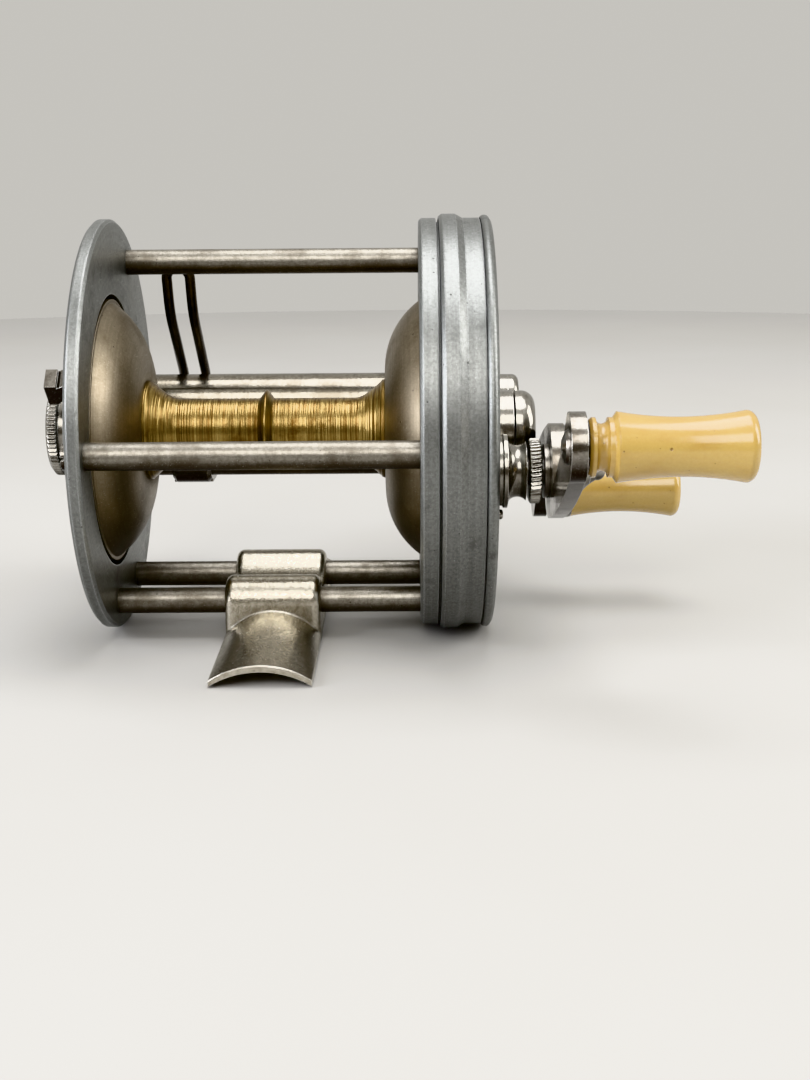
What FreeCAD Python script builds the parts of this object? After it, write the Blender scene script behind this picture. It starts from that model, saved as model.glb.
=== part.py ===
import FreeCAD, Part
import math
import os

# Level-wind bait-casting reel. Millimetres.
# The model is drawn with X along the spool, X = 0 on the inner face of the tail plate, and
# Y = 0, Z = 0 on the centre of the round plates. +X points to the crank, +Y to the line guide.
# Each part is moved to the part's own frame when it is written.

# Frame
PLATE_R = 25.4
FRAME_GAP = 37.6
TAIL_RIM_T = 1.7
HEAD_PLATE_R = PLATE_R - 0.15
HEAD_PLATE_T = 2.1
RIM_CHAMFER = 0.35
PILLAR_R = 1.6
PILLAR_INSET = 3.3
PILLAR_PITCH_R = PLATE_R - PILLAR_INSET
PILLAR_ANGLES = {"pillar_top": 27.5, "pillar_rear": -90.0,
                 "pillar_lower_rear": -162.7, "pillar_lower_front": 162.7}
GUIDE_ROD_ANGLE = 113.5
SCREW_R = 0.75
SCREW_GRIP = 3.0
SCREW_HEAD_R = 1.5
SCREW_HEAD_T = 0.8
SCREW_SLOT_W = 0.35
SCREW_SLOT_DEPTH = 0.4

# Running clearances, on the radius
FIT = 0.05
THREAD_FIT = 0.03
MOVING_GAP = 0.3

# Spool
SPOOL_Y = -2.9
SPOOL_Z = -0.2
SPINDLE_R = 1.2
ARBOR_R = 3.9
ARBOR_END_R = 6.1
ARBOR_FLARE = 3.4
RIB_R = 4.9
RIB_W = 1.8
DISH_DEPTH = 4.1
FLANGE_R = 16.1
FLANGE_T = 0.7
FLANGE_RIM_W = 0.7
RECESS_R = 16.7
RECESS_DEPTH = 1.3

# Tail side
CLICK_CAVITY_DEPTH = 1.9
TAIL_WALL = 0.75
TAIL_FLOOR_T = 1.2
TAIL_BOSS_R = 5.0
TAIL_BOSS_L = 1.9
BUSH_R = 3.6
BUSH_NOSE = 1.5
TAIL_CAP_R = 5.5
TAIL_CAP_L = 2.4
TAIL_CAP_NECK_R = 4.7
TAIL_CAP_NECK_L = 1.0
TAIL_CAP_KNURLS = 60
KNURL_DEPTH = 0.25
CLICK_TEETH = 16
CLICK_WHEEL_R = 4.2
CLICK_TOOTH_H = 0.8
CLICK_WHEEL_T = 1.2
CLICK_ANGLE = -46.0
CLICK_TRAVEL = 1.0
CLICK_PIVOT_R = 9.2
CLICK_STEM_R = 0.8
CLICK_TIP_GAP = 1.1
BUTTON_L = 3.4
BUTTON_W = 2.6
BUTTON_H = 3.5
BUTTON_HEAD_T = 1.4

# Gear case
CASE_L = 5.3
CASE_WALL = 1.25
BAND_RAISE = 0.5
BAND_W = 3.0
GROOVE_W = 0.25
COVER_T = 1.1
COVER_SINK = 0.65
COVER_RIM_RAISE = 0.35
COVER_RIM_R = HEAD_PLATE_R + COVER_RIM_RAISE
GEAR_MODULE = 0.45
ADDENDUM = 0.36
DEDENDUM = 0.5
PRESSURE_ANGLE = 20.0
BACKLASH = 0.09
DRIVE_TEETH = 40
PINION_TEETH = 10
WORM_GEAR_TEETH = 13
GEAR_X = 1.3
GEAR_T = 1.6
PINION_EXTRA = 0.3
CRANK_SHAFT_DROP = 3.4
CASE_POST_R = 1.6
CASE_POST_INSET = 4.75
CASE_POST_PITCH_R = HEAD_PLATE_R - CASE_POST_INSET
CASE_POST_ANGLES = (-48.0, 48.0, 138.0, -138.0)

# Level wind
TUBE_INSET = 5.0
TUBE_Y = PLATE_R - TUBE_INSET
TUBE_Z = -0.35
TUBE_R = 4.05
TUBE_WALL = 0.85
WORM_R = TUBE_R - TUBE_WALL - MOVING_GAP
WORM_JOURNAL_R = 1.0
WORM_SHAFT_R = 1.4
WORM_TURNS = 3.5
WORM_GROOVE_DEPTH = 0.45
WORM_GROOVE_FLOOR_W = 0.54
WORM_GROOVE_MOUTH_W = 1.16
WORM_START = 10.0
WORM_END_GAP = 1.0
SLOT_W = 2.2
SLOT_MARGIN = 2.0
CARRIAGE_X = 6.05
CARRIAGE_L = 5.4
SLEEVE_R = 2.6
BODY_T = 2.45
BODY_TOP_Z = 1.7
PAWL_R = 1.1
PAWL_TIP_R = 0.75
PAWL_CAP_R = 1.9
PAWL_CAP_T = 0.9
WIRE_R = 0.68
WIRE_SPACING = 3.05
WIRE_INSET = 0.85
WIRE_FIRST_BEND_H = 1.4
WIRE_KNEE = (4.6, -7.0)
WIRE_END = (3.0, -2.3)
WIRE_BEND_RADII = (1.6, 9.0)
WIRE_SEAT = 0.8

# Head side caps and bearing
SPOOL_BOSS_R = 4.6
SPOOL_BOSS_L = 3.1
SPOOL_CAP_L = 2.5
SPOOL_CAP_EDGE = 1.7
WORM_BOSS_R = 3.75
WORM_BOSS_L = 3.9
WORM_CAP_L = 1.5
WORM_CAP_EDGE = 0.9
CAP_SEAM = 0.12
MAIN_SHAFT_R = 1.6
BEARING_R = 4.1
BEARING_BASE_R = 4.6
BEARING_L = 3.9
BEARING_PIN_R = 0.6
BEARING_PIN_L = 1.3
BEARING_PIN_DIMPLE_R = 0.15
BEARING_PIN_EDGE = 0.3
COLLAR_R = 3.85
COLLAR_T = 1.5
COLLAR_KNURLS = 44
COLLAR_KNURL_SLANT = 12.0
COLLAR_EDGE_DROP = 0.6
COLLAR_CROWN = 0.15

# Crank
CRANK_REACH = 23.5
CRANK_ANGLE = 106.8
CRANK_T = 1.7
CRANK_HUB_R = 5.6
CRANK_END_R = 3.7
CRANK_WAIST = 2.1
CRANK_BOW = 3.2
CRANK_SPREAD = 0.9
WASHER_T = 0.6
WASHER_R = 3.2
NUT_L = 5.0
NUT_R = 5.5
NUT_TIP_R = 1.15
KNOB_PIN_R = 1.1
KNOB_L = 17.2
KNOB_END_R = 3.75
KNOB_WAIST_R = 3.1
KNOB_NECK_R = 2.45
KNOB_COLLAR_R = 3.1

# Foot
FOOT_X = 19.3
FOOT_W = 11.8
FOOT_HALF_L = 27.0
FOOT_T = 0.8
FOOT_ROOT_RISE = 2.6
FOOT_ROOT_T = 1.35
FOOT_EDGE_T = 0.72
FOOT_BLADE_LAP = 1.5
FOOT_TIP_RISE = 1.7
FOOT_LIFT = 0.15
FOOT_EDGE_R = 1.0
FOOT_HUMP_T = 1.5
SADDLE_DIP_RISE = 0.9


def vec(x, y, z):
    """Return a FreeCAD vector."""
    return FreeCAD.Vector(x, y, z)


def polar(radius, degrees, y=0.0, z=0.0):
    """Return (y, z) at a radius and an angle counted from +Z towards +Y."""
    angle = math.radians(degrees)
    return y + radius * math.sin(angle), z + radius * math.cos(angle)


# Stations along X
HEAD_X = FRAME_GAP
CASE_X = HEAD_X + HEAD_PLATE_T
COVER_X = CASE_X + CASE_L
OUTER_X = COVER_X + COVER_T
TAIL_FLOOR_X = -CLICK_CAVITY_DEPTH
TAIL_OUTER_X = TAIL_FLOOR_X - TAIL_FLOOR_T
TAIL_BOSS_X = TAIL_OUTER_X - TAIL_BOSS_L
TAIL_CAP_X = TAIL_BOSS_X - MOVING_GAP
BEARING_END_X = OUTER_X + BEARING_L
WASHER_X = BEARING_END_X + COLLAR_T + 2 * MOVING_GAP
CRANK_X = WASHER_X + WASHER_T
CRANK_FACE_X = CRANK_X + CRANK_T
KNOB_X = CRANK_FACE_X + MOVING_GAP
SHAFT_END_X = CRANK_FACE_X + NUT_L * 0.6

# Gear centres
GEAR_X0 = CASE_X + GEAR_X
GEAR_X1 = GEAR_X0 + GEAR_T
IDLER_SPAN = math.hypot(TUBE_Y - SPOOL_Y, TUBE_Z - SPOOL_Z)
IDLER_TEETH = math.ceil(IDLER_SPAN / GEAR_MODULE - (PINION_TEETH + WORM_GEAR_TEETH) / 2)
CENTRE_DRIVE = GEAR_MODULE * (DRIVE_TEETH + PINION_TEETH) / 2
CENTRE_IDLER = GEAR_MODULE * (PINION_TEETH + IDLER_TEETH) / 2
CENTRE_WORM = GEAR_MODULE * (IDLER_TEETH + WORM_GEAR_TEETH) / 2
CRANK_Z = SPOOL_Z - CRANK_SHAFT_DROP
CRANK_Y = SPOOL_Y - math.sqrt(CENTRE_DRIVE ** 2 - CRANK_SHAFT_DROP ** 2)


def idler_centre():
    """Return (y, z) of the idler, in mesh with the spool pinion and the worm gear."""
    span_y = TUBE_Y - SPOOL_Y
    span_z = TUBE_Z - SPOOL_Z
    along = (CENTRE_IDLER ** 2 - CENTRE_WORM ** 2 + IDLER_SPAN ** 2) / (2 * IDLER_SPAN)
    offset = math.sqrt(CENTRE_IDLER ** 2 - along ** 2)
    y = SPOOL_Y + (span_y * along + span_z * offset) / IDLER_SPAN
    z = SPOOL_Z + (span_z * along - span_y * offset) / IDLER_SPAN
    return y, z


IDLER_Y, IDLER_Z = idler_centre()
GUIDE_Y, GUIDE_Z = polar(PILLAR_PITCH_R, GUIDE_ROD_ANGLE)
BODY_BACK_Y = TUBE_Y + TUBE_R + MOVING_GAP
BODY_FRONT_Y = BODY_BACK_Y + BODY_T
PILLARS = {name: polar(PILLAR_PITCH_R, angle) for name, angle in PILLAR_ANGLES.items()}
TABLE_Z = -(PLATE_R + BAND_RAISE - (PLATE_R - HEAD_PLATE_R))


def rod(radius, x0, x1, y=0.0, z=0.0):
    """Return a solid cylinder along X from x0 to x1."""
    return Part.makeCylinder(radius, x1 - x0, vec(x0, y, z), vec(1, 0, 0))


def tube(outer, inner, x0, x1, y=0.0, z=0.0):
    """Return a hollow cylinder along X."""
    return rod(outer, x0, x1, y, z).cut(rod(inner, x0 - 1, x1 + 1, y, z))


def box(x0, x1, y0, y1, z0, z1):
    """Return a box between opposite corners."""
    return Part.makeBox(x1 - x0, y1 - y0, z1 - z0, vec(x0, y0, z0))


def path_edges(points, place):
    """Return edges through points; a pair inside the list is an arc (middle point, end point)."""
    edges = []
    last = points[0]
    for item in points[1:]:
        if isinstance(item[0], tuple):
            middle, end = item
            edges.append(Part.Arc(place(last), place(middle), place(end)).toShape())
            last = end
        else:
            edges.append(Part.makeLine(place(last), place(item)))
            last = item
    return edges


def turned(points, y=0.0, z=0.0):
    """Return the solid turned about the X axis through (y, z) from an (x, radius) outline."""
    edges = path_edges(points + [points[0]], lambda p: vec(p[0], y, z + p[1]))
    face = Part.Face(Part.Wire(edges))
    return face.revolve(vec(0, y, z), vec(1, 0, 0), 360)


def extruded(points, x0, x1):
    """Return the solid between x0 and x1 with a closed (y, z) outline."""
    edges = path_edges(points + [points[0]], lambda p: vec(x0, p[0], p[1]))
    return Part.Face(Part.Wire(edges)).extrude(vec(x1 - x0, 0, 0))


def star(pairs, x0, x1, y=0.0, z=0.0):
    """Return the extruded polygon through (radius, degrees) pairs about (y, z)."""
    return extruded([polar(radius, degrees, y, z) for radius, degrees in pairs], x0, x1)


def knurled(radius, count, x0, x1, y, z):
    """Return a cylinder along X with straight V grooves round its edge."""
    step = 360.0 / count
    pairs = []
    for index in range(count):
        pairs.append((radius, index * step))
        pairs.append((radius - KNURL_DEPTH, (index + 0.5) * step))
    return star(pairs, x0, x1, y, z)


def involute(angle):
    """Return the involute function of an angle in radians."""
    return math.tan(angle) - angle


def gear(teeth, x0, x1, y, z, phase, bore):
    """Return a spur gear along X with one tooth centred at the phase angle in degrees."""
    pitch_r = GEAR_MODULE * teeth / 2
    base_r = pitch_r * math.cos(math.radians(PRESSURE_ANGLE))
    tip_r = pitch_r + ADDENDUM
    root_r = pitch_r - DEDENDUM
    half_pitch = math.pi / (2 * teeth) - BACKLASH / (4 * pitch_r)
    start = half_pitch + involute(math.radians(PRESSURE_ANGLE))

    def half_angle(radius):
        pressure = math.acos(min(1.0, base_r / radius))
        return math.degrees(start - involute(pressure))

    flank_r = [root_r]
    first = max(base_r, root_r)
    for step in range(4):
        flank_r.append(first + (tip_r - first) * step / 3)
    if base_r <= root_r:
        flank_r = flank_r[1:]
    pairs = []
    for tooth in range(teeth):
        centre = phase + tooth * 360.0 / teeth
        pairs.extend((radius, centre - half_angle(radius)) for radius in flank_r)
        pairs.extend((radius, centre + half_angle(radius)) for radius in reversed(flank_r))
    return star(pairs, x0, x1, y, z).cut(rod(bore, x0 - 1, x1 + 1, y, z))


def meshed_phase(phase, teeth, other_teeth, direction):
    """Return the phase of a gear that meshes with one at the given phase, in that direction."""
    share = (direction - phase) * teeth / 360.0
    return direction + 180.0 - (0.5 - share) * 360.0 / other_teeth


def direction(y0, z0, y1, z1):
    """Return the angle in degrees from +Z towards +Y, of the second point seen from the first."""
    return math.degrees(math.atan2(y1 - y0, z1 - z0))


def screw(x_seat, y, z, out, grip=SCREW_GRIP):
    """Return a slotted cheese-head screw along X, its head on x_seat and pointing to out."""
    x_head = x_seat + out * SCREW_HEAD_T
    x_end = x_seat - out * grip
    solid = rod(SCREW_HEAD_R, min(x_seat, x_head), max(x_seat, x_head), y, z)
    solid = solid.fuse(rod(SCREW_R, min(x_seat, x_end), max(x_seat, x_end), y, z))
    x_floor = x_head - out * SCREW_SLOT_DEPTH
    slot = box(min(x_head, x_floor), max(x_head, x_floor), y - 2 * SCREW_HEAD_R,
               y + 2 * SCREW_HEAD_R, z - SCREW_SLOT_W / 2, z + SCREW_SLOT_W / 2)
    return solid.cut(slot)


def frame_points():
    """Return the (y, z) centres of the rods that are screwed between the plates."""
    return list(PILLARS.values()) + [(GUIDE_Y, GUIDE_Z)]


def tail_plate():
    """Return the tail plate: a rim disc with a shallow raised back and a boss for the bush."""
    back_r = RECESS_R + TAIL_WALL
    solid = turned([(0, 0), (0, PLATE_R - RIM_CHAMFER), (-RIM_CHAMFER, PLATE_R),
                    (-TAIL_RIM_T + RIM_CHAMFER, PLATE_R), (-TAIL_RIM_T, PLATE_R - RIM_CHAMFER),
                    (-TAIL_RIM_T, 0)])
    back = turned([(-TAIL_RIM_T / 2, 0), (-TAIL_RIM_T / 2, back_r), (TAIL_OUTER_X + 0.5, back_r),
                   (TAIL_OUTER_X, back_r - 1.2), (TAIL_OUTER_X, TAIL_BOSS_R + 0.6),
                   (TAIL_OUTER_X - 0.6, TAIL_BOSS_R), (TAIL_BOSS_X, TAIL_BOSS_R), (TAIL_BOSS_X, 0)],
                  SPOOL_Y, SPOOL_Z)
    solid = solid.fuse(back).removeSplitter()
    solid = solid.cut(rod(RECESS_R, TAIL_FLOOR_X, 1, SPOOL_Y, SPOOL_Z))
    solid = solid.cut(rod(BUSH_R, TAIL_BOSS_X - 1, 0, SPOOL_Y, SPOOL_Z))
    solid = solid.cut(rod(WORM_JOURNAL_R + FIT, -TAIL_RIM_T + 0.4, 1, TUBE_Y, TUBE_Z))
    for y, z in frame_points():
        solid = solid.cut(rod(SCREW_R + THREAD_FIT, -TAIL_RIM_T - 1, 1, y, z))
    return solid.cut(click_slot())


def click_slot():
    """Return the radial slot in the tail floor that the click button's stem slides in."""
    half = CLICK_STEM_R + FIT
    outer_end = polar(CLICK_PIVOT_R, CLICK_ANGLE, SPOOL_Y, SPOOL_Z)
    inner_end = polar(CLICK_PIVOT_R - CLICK_TRAVEL, CLICK_ANGLE, SPOOL_Y, SPOOL_Z)
    x0 = TAIL_OUTER_X - 1
    x1 = TAIL_FLOOR_X + 0.5
    slot = rod(half, x0, x1, *outer_end).fuse(rod(half, x0, x1, *inner_end))
    bridge = box(x0, x1, -half, half, CLICK_PIVOT_R - CLICK_TRAVEL, CLICK_PIVOT_R)
    return slot.fuse(to_click_angle(bridge))


def to_click_angle(solid):
    """Return a solid that was drawn above the origin, turned to the click's angle at the spool."""
    turned_solid = solid.copy()
    turned_solid.rotate(vec(0, 0, 0), vec(1, 0, 0), -CLICK_ANGLE)
    turned_solid.translate(vec(0, SPOOL_Y, SPOOL_Z))
    return turned_solid


def tail_bush():
    """Return the bush that carries the spindle's tail end and the tail cap."""
    x_nose = TAIL_BOSS_X - BUSH_NOSE
    solid = rod(BUSH_R, x_nose, TAIL_FLOOR_X, SPOOL_Y, SPOOL_Z)
    return solid.cut(rod(SPINDLE_R + FIT, x_nose - 1, 0, SPOOL_Y, SPOOL_Z))


def tail_cap():
    """Return the knurled cap that screws over the tail bush and sets the spool's end play."""
    x_end = TAIL_CAP_X - TAIL_CAP_L
    x_head = TAIL_CAP_X - TAIL_CAP_NECK_L
    solid = knurled(TAIL_CAP_R, TAIL_CAP_KNURLS, x_end, x_head, SPOOL_Y, SPOOL_Z)
    edge = turned([(x_head, 0), (x_head, TAIL_CAP_R - 0.4), (x_head - 0.3, TAIL_CAP_R + 0.1),
                   (x_end + 0.5, TAIL_CAP_R + 0.1), (x_end, TAIL_CAP_R - 0.5), (x_end, 0)],
                  SPOOL_Y, SPOOL_Z)
    solid = solid.common(edge).fuse(rod(TAIL_CAP_NECK_R, x_head - 0.2, TAIL_CAP_X, SPOOL_Y, SPOOL_Z))
    x_floor = TAIL_BOSS_X - BUSH_NOSE - MOVING_GAP
    return solid.cut(rod(BUSH_R + FIT, x_floor, TAIL_CAP_X + 1, SPOOL_Y, SPOOL_Z))


def click_button():
    """Return the slider on the tail plate, with the stem that carries the click pawl."""
    x_seat = TAIL_OUTER_X - 0.1
    x_top = x_seat - BUTTON_H
    x_head = x_top + BUTTON_HEAD_T
    centre = CLICK_PIVOT_R
    half_l = BUTTON_L / 2
    edges = path_edges([(x_seat, centre + half_l + 0.8), (x_head, centre + half_l - 0.4),
                        (x_head, centre + half_l), (x_top, centre + half_l),
                        (x_top, centre - half_l), (x_head, centre - half_l),
                        (x_head, centre - half_l + 0.4), (x_seat, centre - half_l + 0.4),
                        (x_seat, centre + half_l + 0.8)],
                       lambda p: vec(p[0], -BUTTON_W / 2, p[1]))
    slab = Part.Face(Part.Wire(edges)).extrude(vec(0, BUTTON_W, 0))
    stem = rod(CLICK_STEM_R, x_seat - 0.5, TAIL_FLOOR_X + 0.2 + CLICK_WHEEL_T, 0, centre)
    return to_click_angle(slab.fuse(stem))


def click_pawl():
    """Return the double-sided pawl that swings on the stem and points at the click wheel."""
    x0 = TAIL_FLOOR_X + 0.3
    x1 = x0 + CLICK_WHEEL_T - 0.2
    tip = CLICK_WHEEL_R + CLICK_TIP_GAP
    outline = [(-0.12, tip), (0.12, tip), (0.8, tip + 1.1), (1.35, CLICK_PIVOT_R),
               ((0, CLICK_PIVOT_R + 1.35), (-1.35, CLICK_PIVOT_R)), (-0.8, tip + 1.1)]
    solid = extruded(outline, x0, x1)
    return to_click_angle(solid.cut(rod(CLICK_STEM_R + FIT, x0 - 1, x1 + 1, 0, CLICK_PIVOT_R)))


def click_spring():
    """Return the bent leaf spring whose two arms flank the click pawl."""
    x0 = TAIL_FLOOR_X
    x1 = x0 + 0.9
    post_z = CLICK_PIVOT_R + 3.6
    post = rod(0.9, x0, x1 + 0.5, 0, post_z)
    solid = post
    for side in (-1, 1):
        arm = extruded([(side * 0.5, post_z), (side * 2.6, CLICK_PIVOT_R + 1.2),
                        (side * 2.6, CLICK_PIVOT_R - 1.9), (side * 2.9, CLICK_PIVOT_R - 1.9),
                        (side * 2.9, CLICK_PIVOT_R + 1.3), (side * 0.8, post_z)], x0, x1)
        solid = solid.fuse(arm)
    return to_click_angle(solid)


def click_wheel():
    """Return the toothed wheel fixed on the spindle behind the tail flange."""
    x0 = TAIL_FLOOR_X + 0.3
    pairs = []
    step = 360.0 / CLICK_TEETH
    for tooth in range(CLICK_TEETH):
        centre = CLICK_ANGLE + (tooth + 0.5) * step
        pairs.append((CLICK_WHEEL_R, centre - step * 0.12))
        pairs.append((CLICK_WHEEL_R, centre + step * 0.12))
        pairs.append((CLICK_WHEEL_R - CLICK_TOOTH_H, centre + step * 0.42))
        pairs.append((CLICK_WHEEL_R - CLICK_TOOTH_H, centre + step * 0.58))
    wheel = star(pairs, x0, x0 + CLICK_WHEEL_T, SPOOL_Y, SPOOL_Z)
    return wheel.cut(rod(SPINDLE_R, x0 - 1, x0 + CLICK_WHEEL_T + 1, SPOOL_Y, SPOOL_Z))


def head_plate():
    """Return the head plate, with the spool recess and seats for the gear posts."""
    x1 = HEAD_X + HEAD_PLATE_T
    solid = turned([(HEAD_X, 0), (HEAD_X, HEAD_PLATE_R - RIM_CHAMFER),
                    (HEAD_X + RIM_CHAMFER, HEAD_PLATE_R), (x1, HEAD_PLATE_R), (x1, 0)])
    solid = solid.cut(rod(RECESS_R, HEAD_X - 1, HEAD_X + RECESS_DEPTH, SPOOL_Y, SPOOL_Z))
    solid = solid.cut(rod(SPINDLE_R + FIT, HEAD_X, x1 + 1, SPOOL_Y, SPOOL_Z))
    solid = solid.cut(rod(WORM_SHAFT_R + FIT, HEAD_X - 1, x1 + 1, TUBE_Y, TUBE_Z))
    for y, z in frame_points():
        solid = solid.cut(rod(SCREW_R + THREAD_FIT, HEAD_X - 1, x1 + 1, y, z))
        solid = solid.cut(rod(SCREW_HEAD_R + FIT, x1 - SCREW_HEAD_T, x1 + 1, y, z))
    return solid


def head_ring():
    """Return the banded wall of the gear case."""
    inner = HEAD_PLATE_R - CASE_WALL
    raised = HEAD_PLATE_R + BAND_RAISE
    x0 = CASE_X
    x1 = x0 + GROOVE_W
    x2 = x1 + BAND_W
    return turned([(x0, inner), (x0, HEAD_PLATE_R - 0.5), (x1, HEAD_PLATE_R - 0.5),
                   (x1 + 0.1, raised - 0.3), (x1 + 0.5, raised), (x2 - 0.9, raised),
                   (x2, HEAD_PLATE_R), (COVER_X, HEAD_PLATE_R), (COVER_X, inner)])


def head_cover():
    """Return the cover of the gear case, with its rolled rim."""
    x1 = OUTER_X
    solid = turned([(COVER_X, 0), (COVER_X, HEAD_PLATE_R - 0.45), (COVER_X + 0.12, HEAD_PLATE_R - 0.45),
                    (COVER_X + 0.12, COVER_RIM_R - 0.3),
                    ((COVER_X + 0.65, COVER_RIM_R), (x1 + 0.1, COVER_RIM_R - 0.4)),
                    ((x1 + 0.3, COVER_RIM_R - 0.9), (x1, COVER_RIM_R - 1.4)), (x1, 0)])
    holes = ((SPOOL_Y, SPOOL_Z, SPINDLE_R + FIT), (TUBE_Y, TUBE_Z, WORM_SHAFT_R + FIT),
             (CRANK_Y, CRANK_Z, MAIN_SHAFT_R + FIT))
    for y, z, radius in holes:
        solid = solid.cut(rod(radius, COVER_X - 1, x1 + 1, y, z))
    for y, z in case_post_points():
        solid = solid.cut(rod(SCREW_R + THREAD_FIT, COVER_X - 1, x1 + 1, y, z))
        solid = solid.cut(rod(SCREW_HEAD_R + FIT, x1 - COVER_SINK, x1 + 1, y, z))
    pin_y, pin_z = bearing_pin_point()
    return solid.cut(rod(BEARING_PIN_R - 0.1, COVER_X - 1, x1 + 1, pin_y, pin_z))


def case_post_points():
    """Return the (y, z) centres of the posts that the cover is screwed to."""
    return [polar(CASE_POST_PITCH_R, angle) for angle in CASE_POST_ANGLES]


def case_posts():
    """Return the tapped posts between the head plate and the cover, as separate solids."""
    posts = []
    for y, z in case_post_points():
        post = rod(CASE_POST_R, CASE_X, COVER_X, y, z)
        posts.append(post.cut(rod(SCREW_R + THREAD_FIT, COVER_X - SCREW_GRIP, COVER_X + 1, y, z)))
    return Part.makeCompound(posts)


def cover_screws():
    """Return the cover screws, as separate solids."""
    return Part.makeCompound([screw(OUTER_X - COVER_SINK, y, z, 1) for y, z in case_post_points()])


def pillar(y, z):
    """Return a rod between the plates, tapped at both ends."""
    solid = rod(PILLAR_R, 0, FRAME_GAP, y, z)
    depth = SCREW_GRIP
    solid = solid.cut(rod(SCREW_R + THREAD_FIT, -1, depth, y, z))
    return solid.cut(rod(SCREW_R + THREAD_FIT, FRAME_GAP - depth, FRAME_GAP + 1, y, z))


def frame_screws(x_seat, out):
    """Return the screws that hold the rods to one plate, as separate solids."""
    return Part.makeCompound([screw(x_seat, y, z, out) for y, z in frame_points()])


def level_wind_tube():
    """Return the slotted tube that guards the worm."""
    solid = tube(TUBE_R, TUBE_R - TUBE_WALL, 0, FRAME_GAP, TUBE_Y, TUBE_Z)
    slot = box(SLOT_MARGIN, FRAME_GAP - SLOT_MARGIN, TUBE_Y, TUBE_Y + 2 * TUBE_R,
               TUBE_Z - SLOT_W / 2, TUBE_Z + SLOT_W / 2)
    return solid.cut(slot)


def worm_groove(left_handed, start_angle):
    """Return one helical groove of the double-cut worm, with sloping walls."""
    length = FRAME_GAP - 2 * SLOT_MARGIN - 2 * WORM_END_GAP
    helix = Part.makeHelix(length / WORM_TURNS, length, WORM_R, 0, left_handed)
    floor = WORM_R - WORM_GROOVE_DEPTH
    mouth = WORM_R + WORM_GROOVE_DEPTH / 2
    section = [vec(floor, 0, -WORM_GROOVE_FLOOR_W / 2), vec(mouth, 0, -WORM_GROOVE_MOUTH_W / 2),
               vec(mouth, 0, WORM_GROOVE_MOUTH_W / 2), vec(floor, 0, WORM_GROOVE_FLOOR_W / 2)]
    profile = Part.makePolygon(section + [section[0]])
    groove = Part.Wire(helix.Edges).makePipeShell([profile], True, True)
    groove.rotate(vec(0, 0, 0), vec(0, 0, 1), start_angle)
    groove.rotate(vec(0, 0, 0), vec(0, 1, 0), 90)
    groove.translate(vec(SLOT_MARGIN + WORM_END_GAP, TUBE_Y, TUBE_Z))
    return groove


def worm():
    """Return the double-cut worm with its two journals."""
    solid = rod(WORM_R, WORM_END_GAP, FRAME_GAP - WORM_END_GAP, TUBE_Y, TUBE_Z)
    solid = solid.cut(worm_groove(False, WORM_START))
    solid = solid.cut(worm_groove(True, 180 - WORM_START))
    solid = solid.fuse(rod(WORM_JOURNAL_R, -TAIL_RIM_T + 0.6, WORM_END_GAP, TUBE_Y, TUBE_Z))
    x_end = OUTER_X + WORM_BOSS_L - 0.5
    return solid.fuse(rod(WORM_SHAFT_R, FRAME_GAP - WORM_END_GAP, x_end, TUBE_Y, TUBE_Z))


def carriage():
    """Return the carriage that slides on the guide rod and carries the line guide."""
    x0 = CARRIAGE_X - CARRIAGE_L / 2
    x1 = x0 + CARRIAGE_L
    sleeve = turned([(x0, 0), (x0, SLEEVE_R - 0.5), (x0 + 0.5, SLEEVE_R),
                     (x1 - 0.5, SLEEVE_R), (x1, SLEEVE_R - 0.5), (x1, 0)], GUIDE_Y, GUIDE_Z)
    body = extruded([(GUIDE_Y, GUIDE_Z - SLEEVE_R), (BODY_FRONT_Y - 1.6, GUIDE_Z - SLEEVE_R),
                     (BODY_FRONT_Y, GUIDE_Z - SLEEVE_R + 1.6), (BODY_FRONT_Y, BODY_TOP_Z - 0.6),
                     (BODY_FRONT_Y - 0.6, BODY_TOP_Z), (BODY_BACK_Y, BODY_TOP_Z),
                     (BODY_BACK_Y, GUIDE_Z + SLEEVE_R - 0.8), (GUIDE_Y, GUIDE_Z + SLEEVE_R - 0.8)],
                    x0, x1)
    solid = sleeve.fuse(body)
    solid = solid.cut(rod(PILLAR_R + FIT, x0 - 1, x1 + 1, GUIDE_Y, GUIDE_Z))
    bore = Part.makeCylinder(PAWL_R + FIT, 9, vec(CARRIAGE_X, BODY_BACK_Y - 3, TUBE_Z), vec(0, 1, 0))
    solid = solid.cut(bore)
    for wire in line_guide_paths():
        seat = Part.makeCylinder(WIRE_R + THREAD_FIT, 5, wire[0], vec(0, 0, 1))
        solid = solid.cut(seat)
    return solid


def pawl():
    """Return the pawl: a stem in the carriage, with its tip just short of the worm."""
    tip_y = TUBE_Y + WORM_R + MOVING_GAP
    shoulder_y = TUBE_Y + TUBE_R + 0.1
    stem = Part.makeCylinder(PAWL_R, BODY_FRONT_Y - shoulder_y,
                             vec(CARRIAGE_X, shoulder_y, TUBE_Z), vec(0, 1, 0))
    tip = Part.makeCylinder(PAWL_TIP_R, shoulder_y - tip_y,
                            vec(CARRIAGE_X, tip_y, TUBE_Z), vec(0, 1, 0))
    blade = box(CARRIAGE_X - PAWL_TIP_R, CARRIAGE_X + PAWL_TIP_R, tip_y - 1, shoulder_y - 0.4,
                TUBE_Z - 0.25, TUBE_Z + 0.25)
    return stem.fuse(tip.common(blade.fuse(tip_shank(shoulder_y))))


def tip_shank(shoulder_y):
    """Return the round length between the pawl's blade and its stem."""
    return Part.makeCylinder(PAWL_TIP_R, 0.4, vec(CARRIAGE_X, shoulder_y - 0.4, TUBE_Z), vec(0, 1, 0))


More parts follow.
